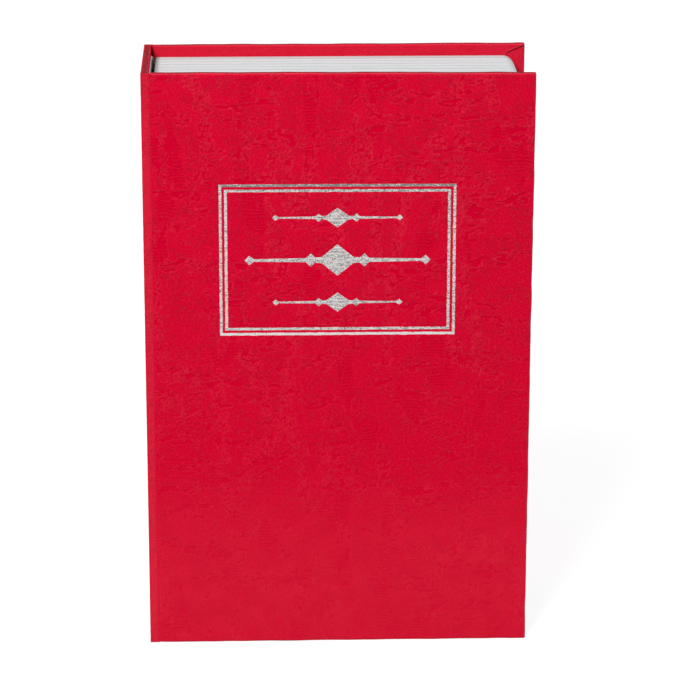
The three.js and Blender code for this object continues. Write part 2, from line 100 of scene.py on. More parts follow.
BOOK_LOW, BOOK_HIGH = (np.array(corner) / MM for corner in CAD_BOX)
BOOK_WIDTH, BOOK_DEPTH, BOOK_HEIGHT = BOOK_HIGH - BOOK_LOW
SPINE_X, FRONT_Y, BACK_Y = BOOK_LOW[0], BOOK_LOW[1], BOOK_HIGH[1]
COVER_DEPTH = box("spine_wrap")[1][0] - SPINE_X
BOARD_START = box("front_board")[0][0] - SPINE_X
FOLD_OPENING = box("spine_wrap")[0][1] - FRONT_Y
FACE_Y = {1.0: FRONT_Y, -1.0: BACK_Y}
FOLD_DEPTH = 0.42
BOARD_WALL = BOARD_START - 0.35, BOARD_START + 0.05
TURN_IN = 15.0
MITRE_START = 20.0
TRAY_WALLS = np.array([-56.45, 57.8, 20.2, 219.8])
GROW = np.array([-1.0, 1.0, -1.0, 1.0])
BODY_OF = {node: body for body, nodes in frame["record"]["behaviour"]["bodies"].items() for node in nodes}


# Settings that a user would change.

def number(name, about, value, **more):
    """A setting that is a number."""
    return FloatProperty(name=name, description=about, default=value, **more)


def length(name, about, value, **more):
    """A setting in millimetres."""
    return number(name, about + ", in millimetres", value, **more)


def angle(name, about, value):
    """A setting in degrees."""
    return number(name, about, math.radians(value), subtype="ANGLE")


def tint(name, about, value):
    """A setting that is a colour."""
    return FloatVectorProperty(name=name, description=about, default=value, subtype="COLOR", size=3,
                               min=0.0, max=1.0)


class PaperSettings(bpy.types.PropertyGroup):
    """Embossed paper and its folds"""

    grid_step: length("Grid step", "Spacing of the paper's mesh", 0.74, min=0.3)
    sheet: length("Sheet", "Thickness of the paper that shows", 0.3, min=0.1)
    edge_radius: length("Edge radius", "Rounding of the paper over a board's edge", 0.6)
    fold_radius: length("Fold radius", "Rounding of the two corner folds", 0.6)
    crease_depth: length("Crease depth", "Depth of the crease beside the board", 0.18)
    emboss_depth: length("Emboss depth", "Depth of the bark pattern", 0.07)
    emboss_at_tail: number("Emboss at the tail", "Share of the emboss depth that is left at the tail", 0.35,
                           min=0.0, max=1.0, subtype="FACTOR")
    cover_warp: length("Cover warp", "How far the front cover's head corner curls out", 3.0)
    colour: tint("Paper colour", "Colour of the embossed paper", (0.665, 0.0010, 0.0280))
    # Painted shade: a darker red laid into the emboss's pressed lines between the raised islands.
    valley_shade_colour: tint("Valley colour", "Colour of the paper in the pressed lines", (0.62, 0.0001, 0.0245))
    # Painted shade: a dark red on the flat across each board's head and tail edge and on the roundings beside it,
    # next to the pages.
    edge_shade_colour: tint("Edge colour", "Colour of the paper where it is rubbed over the boards' edges",
                      (0.26, 0.010, 0.018))
    # Painted sheen: a lighter, hazier red towards the tail, standing for light from the floor glancing off the
    # paper.
    tail_sheen_colour: tint("Tail colour", "Colour of the paper towards the tail, where it is smoother",
                      (0.705, 0.0100, 0.037))
    # Partly wear and partly painted highlight: a paler red on the boards' rounded edges and folds, and painted
    # highlights on the islands' rims, worm marks, glints and the flaps' edges.
    wear_and_highlight_colour: tint("Rubbed colour", "Colour of the paper where its folds are polished by handling",
                        (0.80, 0.048, 0.078))


class FinishSettings(bpy.types.PropertyGroup):
    """Colours of the other finishes"""

    foil_colour: tint("Foil colour", "Colour of the silver foil", (0.59, 0.585, 0.58))
    plastic_colour: tint("Page colour", "Colour of the page moulding", (0.785, 0.80, 0.815))
    lining_colour: tint("Lining colour", "Colour of the white paper linings", (0.88, 0.865, 0.83))
    board_colour: tint("Board colour", "Colour of the grey board", (0.27, 0.235, 0.195))
    paint_colour: tint("Paint colour", "Colour of the powder coat on the steel", (0.010, 0.010, 0.011))


class StageSettings(bpy.types.PropertyGroup):
    """Camera, lamps and surroundings"""

    azimuth: angle("Azimuth", "How far the camera stands to the spine's side", 2.0)
    elevation: angle("Elevation", "Angle of the camera above the horizon", 17.6)
    roll: angle("Roll", "Tilt of the picture", 0.114)
    distance: number("Distance", "Distance of the camera from its target", 1.3, unit="LENGTH", subtype="DISTANCE")
    lens: length("Lens", "Focal length", 162.7)
    surroundings: number("Surroundings", "Strength of the light from all round", 0.29)
    key_light: number("Key light", "Power of the large lamp before the book", 42.0, unit="POWER")
    back_light: number("Back light", "Power of the large lamp above and behind the book", 13.0, unit="POWER")


# Mesh helpers.

def smoothstep(value, low, high):
    """0 below low, 1 above high, and 3t^2 - 2t^3 between them."""
    t = np.clip((value - low) / (high - low), 0.0, 1.0)
    return t * t * (3.0 - 2.0 * t)


def xyz(x, y, z):
    """A grid of points from grids of their coordinates."""
    return np.stack(np.broadcast_arrays(x, y, z), axis=-1)


def quarter_turn(steps):
    """Pairs of 1 - sine and 1 - cosine over a quarter of a turn: how far a rounded edge is from its end and
    from its start, as shares of its radius."""
    turn = np.linspace(0.0, math.pi / 2, steps)
    return list(zip(1.0 - np.sin(turn), 1.0 - np.cos(turn)))


class Surface:
    """Grids of points gathered into one mesh, with faces of many corners. Values at the points have the same
    names in each grid."""

    def __init__(self):
        self.points, self.quads, self.ngons, self.values, self.count = [], [], [], {}, 0

    def grid(self, points, close_rows=False, close_columns=False, **values):
        """Adds a grid of points shaped (rows, columns, 3) and returns their numbers, shaped (rows, columns)."""
        rows, columns = points.shape[:2]
        index = self.count + np.arange(rows * columns).reshape(rows, columns)
        self.points.append(points.reshape(-1, 3))
        closed = np.concatenate([index, index[:1]]) if close_rows else index
        if close_columns:
            closed = np.concatenate([closed, closed[:, :1]], axis=1)
        corners = closed[:-1, :-1], closed[:-1, 1:], closed[1:, 1:], closed[1:, :-1]
        self.quads.append(np.stack(corners, axis=-1).reshape(-1, 4))
        for name, value in values.items():
            value = np.broadcast_to(value, (rows, columns) + np.shape(value)[2:])
            self.values.setdefault(name, []).append(value.reshape(rows * columns, -1))
        self.count += rows * columns
        return index

    def strip(self, one, other):
        """Adds four-cornered faces between two lines of numbered points."""
        self.quads.append(np.stack([one[:-1], one[1:], other[1:], other[:-1]], axis=-1))

    def cap(self, *lines):
        """Adds one face whose corners are the numbered points in turn."""
        self.ngons.append(np.concatenate(lines))

    def object(self, name, material, sharp=35.0):
        """Makes the mesh object, with doubles merged and all faces pointing outwards."""
        points = np.concatenate(self.points)
        quads = np.concatenate(self.quads)
        loops = np.concatenate([quads.ravel(), *self.ngons])
        sizes = np.array([4] * len(quads) + [len(face) for face in self.ngons])
        mesh = bpy.data.meshes.new(name)
        mesh.vertices.add(len(points))
        mesh.loops.add(len(loops))
        mesh.polygons.add(len(sizes))
        mesh.vertices.foreach_set("co", (points * MM).astype(np.float32).ravel())
        mesh.loops.foreach_set("vertex_index", loops.astype(np.int32))
        mesh.polygons.foreach_set("loop_start", (np.cumsum(sizes) - sizes).astype(np.int32))
        for key, parts in self.values.items():
            value = np.concatenate(parts).astype(np.float32)
            if value.shape[1] == 2:
                mesh.uv_layers.new(name=key).data.foreach_set("uv", value[loops].ravel())
            else:
                mesh.attributes.new(key, "FLOAT", "POINT").data.foreach_set("value", value.ravel())
        mesh.update(calc_edges=True)
        work = bmesh.new()
        work.from_mesh(mesh)
        bmesh.ops.remove_doubles(work, verts=work.verts, dist=1e-6)
        return shown(name, mesh, work, material, sharp)

    def piece(self, name, slot, body, *nodes, sharp=35.0):
        """Makes the object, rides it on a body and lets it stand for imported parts."""
        return placed(self.object(name, finish(slot), sharp), slot, body, *nodes)


def shown(name, mesh, work, material, sharp):
    """Puts a worked mesh into the scene with faces outwards, a finish, and smooth shading between the edges
    that are sharper than an angle in degrees."""
    bmesh.ops.recalc_face_normals(work, faces=work.faces)
    work.to_mesh(mesh)
    work.free()
    mesh.polygons.foreach_set("use_smooth", [True] * len(mesh.polygons))
    mesh.set_sharp_from_angle(angle=math.radians(sharp))
    mesh.materials.clear()
    mesh.materials.append(material)
    made = bpy.data.objects.new(name, mesh)
    bpy.context.scene.collection.objects.link(made)
    return made


def slab(grids, **values):
    """A closed sheet between two grids of the same shape, with a wall along each of its four edges."""
    made = Surface()
    upper, lower = (made.grid(points, **values) for points in grids)
    for edge in (np.s_[0, :], np.s_[-1, :], np.s_[:, 0], np.s_[:, -1]):
        made.strip(upper[edge], lower[edge])
    return made


def places(low, high, first, second, counts):
    """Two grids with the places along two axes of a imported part's box."""
    ticks = [np.linspace(low[axis], high[axis], count) for axis, count in zip((first, second), counts)]
    return np.meshgrid(*ticks, indexing="ij")


def stacked_loops(rows, side_points=(24, 36), corner_points=7):
    """Rectangles with rounded corners at given depths, as one grid of points. A row is ((x0, x1, z0, z1),
    corner radius at x0, corner radius at x1, y), and a loop starts at the low x and low z corner."""
    turn = np.linspace(0.0, math.pi / 2, corner_points)
    across, up = side_points
    loops = []
    for (x0, x1, z0, z1), low_r, high_r, y in rows:
        arcs, parts = [], []
        for x, z, r, start in ((x0, z0, low_r, math.pi), (x1, z0, high_r, 1.5 * math.pi),
                               (x1, z1, high_r, 0.0), (x0, z1, low_r, 0.5 * math.pi)):
            quarter = np.stack([np.cos(turn + start), np.sin(turn + start)], axis=1)
            outwards = np.sign(quarter[corner_points // 2])
            arcs.append((x, z) + r * (quarter - outwards))
        for arc, following, count in zip(arcs, arcs[1:] + arcs[:1], (across, up, across, up)):
            share = np.linspace(0.0, 1.0, count + 2)[1:-1, None]
            parts += [arc, arc[-1] + (following[0] - arc[-1]) * share]
        loops.append(np.insert(np.concatenate(parts), 1, y, axis=1))
    return np.array(loops)


def turned(rows, centre, corner=0.0, segments=72):
    """A form turned round an axis that runs along y. A row is (radius, place along the axis, hexagon, limit,
    thread), and its last three may be left out. The hexagon's share mixes in 1 / cos(angle from the nearest
    flat's middle), the limit is the greatest radius, and the thread's depth times a triangle wave that climbs
    a millimetre a turn is taken off."""
    profile = [(*row, *(0.0, math.inf, 0.0)[len(row) - 2:]) for row in rows]
    radius, along, hexagon, limit, thread = np.array(profile).T[:, :, None]
    angle = np.linspace(0.0, 2 * math.pi, segments, endpoint=False)
    from_flat = (angle - corner) % (math.pi / 3) - math.pi / 6
    radius = np.minimum(radius * (1.0 + hexagon * (1.0 / np.cos(from_flat) - 1.0)), limit)
    radius = radius - thread * np.abs(2.0 * ((along - angle / (2 * math.pi)) % 1.0) - 1.0)
    return xyz(centre[0] + radius * np.cos(angle), along, centre[1] + radius * np.sin(angle))


# Material helpers.

class Value:
    """A node's output. Sums, differences, products and sizes of values are made with math nodes."""

    def __init__(self, nodes, socket):
        self.nodes, self.socket = nodes, socket

    def math(self, operation, *others):
        return self.nodes.math(operation, self, *others)

    def __add__(self, other):
        return self.math("ADD", other)

    def __sub__(self, other):
        return self.math("SUBTRACT", other)

    def __rsub__(self, other):
        return self.nodes.math("SUBTRACT", other, self)

    def __mul__(self, other):
        return self.math("MULTIPLY", other)

    def __abs__(self):
        return self.math("ABSOLUTE")

    __radd__, __rmul__ = __add__, __mul__


class Nodes:
    """A node tree that is filled step by step."""

    def __init__(self, holder, clear=True):
        holder.use_nodes = True
        self.tree = holder.node_tree
        if clear:
            self.tree.nodes.clear()

    def join(self, socket, value):
        """Gives a socket a value, or links another node's output to it."""
        if isinstance(value, Value):
            self.tree.links.new(value.socket, socket)
        elif socket.type == "RGBA":
            socket.default_value = (*value, 1.0)
        else:
            socket.default_value = value

    def node(self, kind, inputs=(), output=0, **settings):
        made = self.tree.nodes.new("ShaderNode" + kind)
        for key, value in settings.items():
            setattr(made, key, value)
        for key, value in dict(inputs).items():
            self.join(made.inputs[key], value)
        return Value(self, made.outputs[output]) if made.outputs else None

    def math(self, operation, *terms):
        return self.node("Math", enumerate(terms), operation=operation)


class Finish(Nodes):
    """A node material built round the Principled shader, on the paper's own coordinates or on the object's."""

    def __init__(self, name, roughness=0.5, metallic=0.0, specular=0.5, on_paper=False):
        self.material = bpy.data.materials.new(name)
        super().__init__(self.material, clear=False)
        self.shader = self.tree.nodes["Principled BSDF"]
        self.set("Roughness", roughness)
        self.set("Metallic", metallic)
        self.set("Specular IOR Level", specular)
        self.flat = on_paper
        self.where = self.node("UVMap", uv_map="paper") if on_paper else self.node("TexCoord", output="Object")

    def set(self, socket, value):
        self.join(self.shader.inputs[socket], value)

    def attribute(self, name):
        return self.node("Attribute", output="Fac", attribute_name=name)

    def noise(self, scale, detail=2.0, roughness=0.5, distortion=0.0, stretch=None):
        """Noise from 0 to 1, on coordinates that are multiplied by the stretch."""
        where = self.node("Mapping", {"Vector": self.where, "Scale": stretch}) if stretch else self.where
        inputs = {"Vector": where, "Scale": scale, "Detail": detail, "Roughness": roughness,
                  "Distortion": distortion}
        return self.node("TexNoise", inputs, "Fac", noise_dimensions="2D" if self.flat else "3D")

    def levels(self, value, low, high, to_low=0.0, to_high=1.0):
        """The value's span from low to high eased onto another span."""
        inputs = {"Value": value, "From Min": low, "From Max": high, "To Min": to_low, "To Max": to_high}
        return self.node("MapRange", inputs, interpolation_type="SMOOTHSTEP")

    def mix(self, share, first, second):
        """The first colour, or the second one by its share."""
        return self.node("Mix", {0: share, 6: first, 7: second}, 2, data_type="RGBA")

    def done(self, colour, gloss, low, high, height, distance, strength=1.0):
        """Sets the colour, the roughness (the gloss noise eased between two values) and the bump."""
        self.set("Base Color", colour)
        self.set("Roughness", self.levels(gloss, 0.3, 0.7, low, high))
        bump = {"Height": height, "Distance": distance * MM, "Strength": strength}
        self.set("Normal", self.node("Bump", bump))
        return self.material


def finish_red_paper():
    """Glazed red paper with a bark emboss. The paper's relief value is the distance from the rim of its
    raised islands, so the rims are drawn sharper here than the mesh can carry them. Rope columns are cut
    into rungs, and the islands carry worm-like grain. Light and shade are painted into the colour too:
    shade in the valleys and on the boards' head and tail flats, highlights on the rims, worm marks, glints
    and rounded edges, and a sheen towards the tail. The fold value is the distance from the edge of a
    corner's upper flap, which has a painted shadow along it and a painted highlight on it."""
    paper = bpy.context.scene.book_paper
    f = Finish("embossed_red_paper", specular=0.006, on_paper=True)
    relief, strength, rope, fold, wear_and_highlight, edge = (
        f.attribute(name) for name in ("relief", "strength", "rope", "fold", "wear_and_highlight", "edge"))
    wobble = f.noise(1.5, 2.0, 0.6) - 0.5
    level = relief + 0.6 * wobble
    up = f.node("SeparateXYZ", {"Vector": f.where}, "Y")
    wave = (9.0 * f.noise(0.22, 1.0) + 4.65 * up).math("SINE") + 2.2 * wobble
    rung = f.levels(wave, -0.5, 0.5)
    island = f.levels(level, -0.18, 0.28) * (1.0 - rope * (1.0 - rung))
    rim = f.levels(abs(level - 0.22), 0.26, 0.0) * (1.0 - 0.7 * rope)
    worm = f.levels(abs(f.noise(1.0, 2.0, 0.6, 1.3) - 0.5), 0.06, 0.0) * island
    worm = worm * f.levels(f.noise(0.11, 1.0), 0.40, 0.58, 0.25) * f.levels(f.noise(0.55, 1.0), 0.38, 0.52)
    pebble = f.noise(1.25, 3.0, 0.7)
    height = (0.10 * island + 0.06 * rim + 0.08 * worm + 0.08 * pebble) * strength + 0.10 * pebble
    height = height + 0.35 * f.levels(fold, -0.15, 0.15)

    # Painted sheen towards the tail, where the emboss is weaker.
    base = f.mix(f.levels(strength, 0.33, 0.59), paper.tail_sheen_colour, paper.colour)
    # Painted highlight on the islands' rims and the worm marks.
    base = f.mix((0.42 * worm + 0.28 * rim) * strength, base, paper.wear_and_highlight_colour)
    # Painted glints: fine specks of the paler highlight red.
    glint = f.levels(f.noise(1.1, 3.0, 0.75), 0.44, 0.70)
    base = f.mix(glint * (0.05 * strength + 0.15), base, paper.wear_and_highlight_colour)
    # Painted shade in the valleys: where islands, rims and worm marks are low, the colour turns to the darker
    # valley red.
    high = 0.3 * worm + 0.4 * rim + 0.85 * island
    base = f.mix((1.0 - high) * (0.95 * strength), base, paper.valley_shade_colour)
    base = f.mix(f.levels(f.noise(0.12, 3.0, 0.6), 0.3, 0.7, 0.0, 0.22), base, toned(paper.colour, 0.9))
    worn = f.levels(f.noise(0.8, 3.0, 0.7), 0.2, 0.8, 0.6, 1.0)
    # Wear with a painted highlight on the boards' rounded edges, the turn-ins and the strip beside each fold.
    base = f.mix(wear_and_highlight * worn, base, paper.wear_and_highlight_colour)
    # Painted shade on the flats of the head and tail edges, patchy with the worn noise.
    base = f.mix(edge * f.levels(worn, 0.6, 1.0, 0.85, 1.0), base, paper.edge_shade_colour)
    # Painted shadow under the edge of a corner's upper flap.
    base = f.mix(f.levels(abs(fold + 0.22), 0.30, 0.05, 0.0, 0.9), base, toned(paper.edge_shade_colour, 0.4))
    # Painted highlight along that flap's edge.
    base = f.mix(f.levels(abs(fold - 0.35), 0.40, 0.0, 0.0, 0.8), base, paper.wear_and_highlight_colour)
    return f.done(base, pebble, 0.42, 0.58, height, 1.0)


def toned(colour, share):
    """A lighter or darker tone of a colour."""
    return tuple(share * c for c in colour)


def finish_foil():
    """Hot foil: bright with dark streaks drawn along the line, worn specks that show the paper, and a painted
    reflection shade, set for each side, that makes it darker and more streaked."""
    foil, paper = bpy.context.scene.book_finish.foil_colour, bpy.context.scene.book_paper.colour
    f = Finish("silver_hot_foil", metallic=1.0, on_paper=True)
    streak = f.noise(1.0, 4.0, 0.7, 0.6, stretch=(0.35, 1.6, 1.0))
    mottle = f.noise(1.9, 3.0, 0.7)
    # Painted reflection shade darkens whole sides of the foil, together with the streaks and mottle.
    dark = f.levels(0.09 * f.attribute("tarnish") + 0.5 * mottle + 0.5 * streak, 0.47, 0.62)
    speck = f.levels(f.noise(1.3, 4.0, 0.75, 0.4), 0.63, 0.66)
    f.set("Metallic", 1.0 - speck)
    base = f.mix(speck, f.mix(dark, foil, toned(foil, 0.28)), paper)
    return f.done(base, mottle, 0.26, 0.44, 0.5 * f.noise(2.6, 2.0, 0.6) + mottle, 0.05, 0.6)


def finish_plastic():
    """Moulded white plastic with a soft gloss, slightly uneven, with painted shade in its grooves. Its spine
    side is painted black as shade for the dark slot beside the spine lining."""
    colours = bpy.context.scene.book_finish
    f = Finish("white_page_plastic", specular=0.2)
    cloud = f.noise(45.0, 3.0, 0.6)
    base = f.mix(f.levels(cloud, 0.3, 0.7, 0.0, 0.5), colours.plastic_colour, toned(colours.plastic_colour, 0.95))
    # Painted shade in the page grooves, by their depth.
    base = f.mix(f.attribute("groove"), base, (0.22, 0.205, 0.21))
    # Painted shade: the spine side, which shows only in the slot beside the spine lining, is turned black.
    base = f.mix(f.attribute("black"), base, colours.paint_colour)
    flow = f.noise(1.0, 3.0, 0.6, stretch=(40.0, 900.0, 40.0))
    return f.done(base, cloud, 0.50, 0.62, 0.6 * flow + f.noise(1800.0), 0.035, 0.5)


def finish_lining():
    """Uncoated white paper: fine fibres and a faint unevenness from the glue."""
    lining = bpy.context.scene.book_finish.lining_colour
    f = Finish("white_lining_paper", specular=0.2)
    cloud = f.noise(60.0, 4.0, 0.6)
    base = f.mix(f.levels(cloud, 0.3, 0.7, 0.0, 0.6), lining, toned(lining, 0.93))
    return f.done(base, cloud, 0.8, 0.9, 1.2 * cloud + f.noise(2600.0, 3.0, 0.7, 1.5), 0.03, 0.6)


def finish_board():
    """Pressed grey board: flecks and short fibres."""
    board = bpy.context.scene.book_finish.board_colour
    f = Finish("grey_pressed_board", specular=0.15)
    fleck = f.noise(900.0, 4.0, 0.75, 0.8)
    base = f.mix(f.levels(fleck, 0.35, 0.65), toned(board, 0.8), toned(board, 1.25))
    return f.done(base, fleck, 0.82, 0.95, fleck, 0.08, 0.7)


def finish_powder_coat():
    """Black powder coat: a fine orange-peel texture, and a little rubbed paler in patches."""
    paint = bpy.context.scene.book_finish.paint_colour
    f = Finish("black_powder_coat", specular=0.2)
    peel = f.noise(420.0, 2.0, 0.5)
    base = f.mix(f.levels(f.noise(30.0, 4.0, 0.65), 0.45, 0.75), paint, toned(paint, 1.7))
    return f.done(base, peel, 0.40, 0.58, 0.7 * f.noise(1500.0, 2.0, 0.6) + peel, 0.09, 0.8)


def finish_metal(name, colour, roughness, scratch, grain=(1.0, 1.0, 1.0)):
    """Bare or plated metal: its tone, gloss and fine scratches vary with noise stretched along one way."""
    f = Finish(name, metallic=1.0)
    fine = f.noise(1600.0, 3.0, 0.7, stretch=grain)
    base = f.mix(f.levels(f.noise(120.0, 4.0, 0.65, stretch=grain), 0.35, 0.7), colour, toned(colour, 0.84))
    return f.done(base, fine, 0.75 * roughness, 1.25 * roughness, fine, scratch, 0.5)


@functools.cache
def finish(slot):
    """The material for one of the record's slots, made once."""
    makers = {
        "red_paper": finish_red_paper,
        "silver_foil": finish_foil,
        "white_plastic": finish_plastic,
        "white_paper": finish_lining,
        "grey_board": finish_board,
        "black_paint": finish_powder_coat,
        "chrome": lambda: finish_metal("polished_chrome", (0.57, 0.58, 0.60), 0.14, 0.004),
        "zinc_steel": lambda: finish_metal("bright_zinc_plate", (0.39, 0.40, 0.41), 0.34, 0.012, (1.0, 1.0, 0.12)),
        "aluminium": lambda: finish_metal("plain_aluminium", (0.48, 0.49, 0.51), 0.40, 0.015),
    }
    return makers[slot]()


def placed(made, slot, body, *nodes):
    """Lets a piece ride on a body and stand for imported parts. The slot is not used."""
    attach(made, body)
    if nodes:
        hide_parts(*nodes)
    return made


def bent(made, slot, bodies, start, end, *nodes):
    """Bakes a sheet's placement into its mesh and hides the imported parts that it stands for. The slot and the
    bodies are not used, and the start and the end, given in millimetres, are turned into metres and dropped.
    """
    tuple(MM * c for c in start)
    tuple(MM * c for c in end)
    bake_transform(made)
    if nodes:
        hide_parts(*nodes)
    return made


# Embossed paper. Its pattern is worked out once on a flat raster of the whole sheet: u runs along the
# case's width from the front corner fold, positive over the front cover, and v is the height.

RASTER_STEP = 0.4
PAPER_U = (-240.0, 185.0)
PAPER_V = (-24.0, 264.0)
RASTER_SHAPE = [int((high - low) / RASTER_STEP) for low, high in (PAPER_U, PAPER_V)]
FOIL_LINE = 1.25
FOIL_GAP = 0.9


def blurred(field, sigma_u, sigma_v):
    """The field blurred by a bell curve of the given widths along u and v."""
    fu = np.fft.fftfreq(field.shape[0], RASTER_STEP)[:, None]
    fv = np.fft.rfftfreq(field.shape[1], RASTER_STEP)[None, :]
    bell = np.exp(-2 * (math.pi ** 2) * ((sigma_u * fu) ** 2 + (sigma_v * fv) ** 2))
    return np.fft.irfft2(np.fft.rfft2(field) * bell, s=field.shape)


def random_field(sigma_u, sigma_v, seed):
    """White noise blurred along u and v, with a spread of 1."""
    field = blurred(np.random.default_rng(seed).standard_normal(RASTER_SHAPE), sigma_u, sigma_v)
    return field / field.std()


def over_slope(field, least):
    """The field over its slope, which is about the distance from its zero level."""
    return field / (np.hypot(*np.gradient(field, RASTER_STEP)) + least)


def crack_lines(field, width):
    """Bell-shaped lines along the field's zero level: exp(-(distance / width)^2)."""
    return np.exp(-(over_slope(field, 0.02) / width) ** 2)


def cells(size_u, size_v, seed):
    """Distance from the walls of close cells: half of the difference between the distances of the second
    nearest and the nearest of scattered points, one in each box of a bent lattice."""
    rng = np.random.default_rng(seed)
    u, v = np.meshgrid(*(np.arange(count) * RASTER_STEP for count in RASTER_SHAPE), indexing="ij")
    u = (u + 0.3 * random_field(1.6, 1.6, seed + 1)) / size_u + 2
    v = (v + 0.3 * random_field(1.6, 1.6, seed + 2)) / size_v + 2
    i, j = u.astype(int), v.astype(int)
    spots = 0.15 + 0.7 * rng.random((2, i.max() + 2, j.max() + 2))
    first = second = np.full(u.shape, 9.0)
    for di in (-1, 0, 1):
        for dj in (-1, 0, 1):
            a, b = i + di, j + dj
            away = (np.abs(a + spots[0, a, b] - u) ** 2.4 + np.abs(b + spots[1, a, b] - v) ** 2.4) ** (1 / 2.4)
            second = np.minimum(second, np.maximum(first, away))
            first = np.minimum(first, away)
    return (second - first) / 2 * min(size_u, size_v)


@functools.cache
def emboss():
    """The bark pattern: large plain plateaus, and between them bands along u and along v that are full of
    long islands, with more islands in the middle of the widest valleys. The level is the distance from the
    islands' rims, positive on top of them. Rope is 1 in the columns that are cut into rungs."""
    wobble = random_field(2.2, 1.8, 22)
    wiggle = 0.3 * random_field(0.9, 0.7, 12) + 0.16 * random_field(0.4, 0.36, 19)
    band_u = crack_lines(random_field(15.0, 5.0, 15) + 0.08 * wobble, 5.2)
    band_v = crack_lines(random_field(4.6, 17.0, 26) + 0.08 * wobble, 4.6)
    band = smoothstep(np.maximum(band_u, band_v), 0.32, 0.72)
    along_u = smoothstep(band_u / (band_u + band_v + 1e-6), 0.35, 0.65)
    islands = along_u * random_field(2.4, 0.44, 11) + (1.0 - along_u) * random_field(0.5, 1.5, 13)
    plateau = 1.2 + 0.3 * random_field(3.0, 3.0, 27)
    field = (1.0 - band) * plateau + band * (0.38 + islands) + wiggle
    field = field + smoothstep(-field, 0.6, 1.0) * (1.8 + 0.3 * random_field(0.6, 0.5, 31))
    level = np.clip(over_slope(field, 0.12), -1.5, 1.5)
    pebbles = cells(1.9, 2.7, 73) - 0.14 + 0.1 * random_field(0.7, 0.6, 14) + 1.4 * (1.0 - band)
    pebbled = (1.0 - along_u) * smoothstep(random_field(6.0, 12.0, 77), -0.3, 0.1)
    level = (1.0 - pebbled) * level + pebbled * np.clip(1.6 * pebbles, -0.8, 1.5)
    rope = ((1.0 - along_u) * smoothstep(band_v, 0.35, 0.6)
            * smoothstep(random_field(2.5, 5.0, 28), -0.5, 0.0) * (1.0 - pebbled))
    grain = 0.06 * random_field(0.6, 0.6, 17)
    depth = blurred(1.0 - smoothstep(level, -0.4, 0.4), 0.34, 0.34) + grain + 0.15
    return {"level": level, "rope": rope, "depth": depth, "pucker": random_field(1.6, 0.9, 18),
            "sway": random_field(2.6, 2.6, 23)}


def sample(name, u, v):
    """The raster's value at paper coordinates, by two-way linear interpolation."""
    field = emboss()[name]
    a = np.clip((u - PAPER_U[0]) / RASTER_STEP, 0, field.shape[0] - 1.001)
    b = np.clip((v - PAPER_V[0]) / RASTER_STEP, 0, field.shape[1] - 1.001)
    i, j = a.astype(int), b.astype(int)
    s, t = a - i, b - j
    return ((1 - s) * (1 - t) * field[i, j] + s * (1 - t) * field[i + 1, j]
            + (1 - s) * t * field[i, j + 1] + s * t * field[i + 1, j + 1])


def emboss_strength(v):
    """The emboss fades from full at the head to a share at the tail."""
    left = bpy.context.scene.book_paper.emboss_at_tail
    return left + (1.0 - left) * smoothstep(v, 10.0, 185.0)


RULES = "title_rule_top", "title_rule_middle", "title_rule_bottom"
RULE_SHARES = np.array([(1, 0), (0.95, 0.3), (0.9, 0.08), (0.34, 0.13), (0.29, 0.42), (0.24, 0.16),
                        (0.17, 0.2), (0, 1)])


def rule_half_height(x, length, height):
    """Half the height of a tapered rule at a distance from its middle: straight runs between given shares."""
    share = np.abs(x) / (length / 2)
    return np.interp(share, RULE_SHARES[::-1, 0], RULE_SHARES[::-1, 1], right=0.0) * height / 2


def pressing(u, v):
    """How strongly the foil's block has pressed the paper there, from 0 to 1."""
    low, high = box("title_frame_outer")
    middle, half = (low + high) / 2, (high - low) / 2
    x = u + SPINE_X - middle[0]
    inside = np.maximum(np.abs(x) - half[0], np.abs(v - middle[2]) - half[2])
    band = 2 * FOIL_LINE + FOIL_GAP
    pressed = smoothstep(-inside, -0.5, 0.2) * smoothstep(inside, -band - 0.5, -band + 0.2)
    for node in RULES:
        low, high = box(node)
        length, height = high[0] - low[0], high[2] - low[2]
        reach = rule_half_height(x, length, height)
        near = smoothstep(reach + 0.5 - np.abs(v - (low[2] + high[2]) / 2), -0.4, 0.3)
        pressed = np.maximum(pressed, near * (np.abs(x) < length / 2 + 0.3))
    return np.where(u > 0, pressed, 0.0)


def from_fold(u):
    """Distance from the nearer corner fold, over its cover."""
    return np.where(u > -BOOK_DEPTH / 2, u, -BOOK_DEPTH - u)


def paper_depth(u, v):
    """How far the paper's face lies below its nominal plane: the emboss, the crease beside each board,
    puckers in the strip between crease and fold, and the foil's pressing."""
    paper = bpy.context.scene.book_paper
    beside = from_fold(u)
    strip = smoothstep(beside, 0.5, 1.0) * smoothstep(beside, BOARD_START, BOARD_START - 1.0)
    crease = paper.crease_depth * np.exp(-((beside - BOARD_START + 0.3) / 0.6) ** 2)
    pressed = pressing(u, v)
    depth = paper.emboss_depth * emboss_strength(v) * (1.0 - 0.65 * pressed) * sample("depth", u, v)
    depth = depth * (1.0 - 0.6 * strip) + crease + 0.09 * pressed
    return depth + 0.05 * strip * (1.2 + sample("pucker", u, v))


def warp(x, z):
    """How far the front cover curls out of its plane: nothing at the spine and at the tail, most at the
    head's fore-edge corner, as a power of each share."""
    across = np.clip((x - SPINE_X) / BOOK_WIDTH, 0.0, 1.0)
    up = np.clip(z / BOOK_HEIGHT, 0.0, 1.0)
    return bpy.context.scene.book_paper.cover_warp * across ** 1.6 * up ** 2.2


FLAP_SLOPE = 0.42
FLAP_LIFT = 0.36
NO_FLAP = 4.0
EDGE_SWAY = 0.1
TURN_IN_SAG = 0.05
SAG_REACH = 6.0
EDGE_TURNS = np.radians([22.5, 45.0, 67.5, 90.0])
TURN_IN_ROWS = (0.0, 0.4, 0.8, 1.2, 1.7, 2.2, 2.8, 3.5, 4.4, 5.6, 8.0, 11.0)


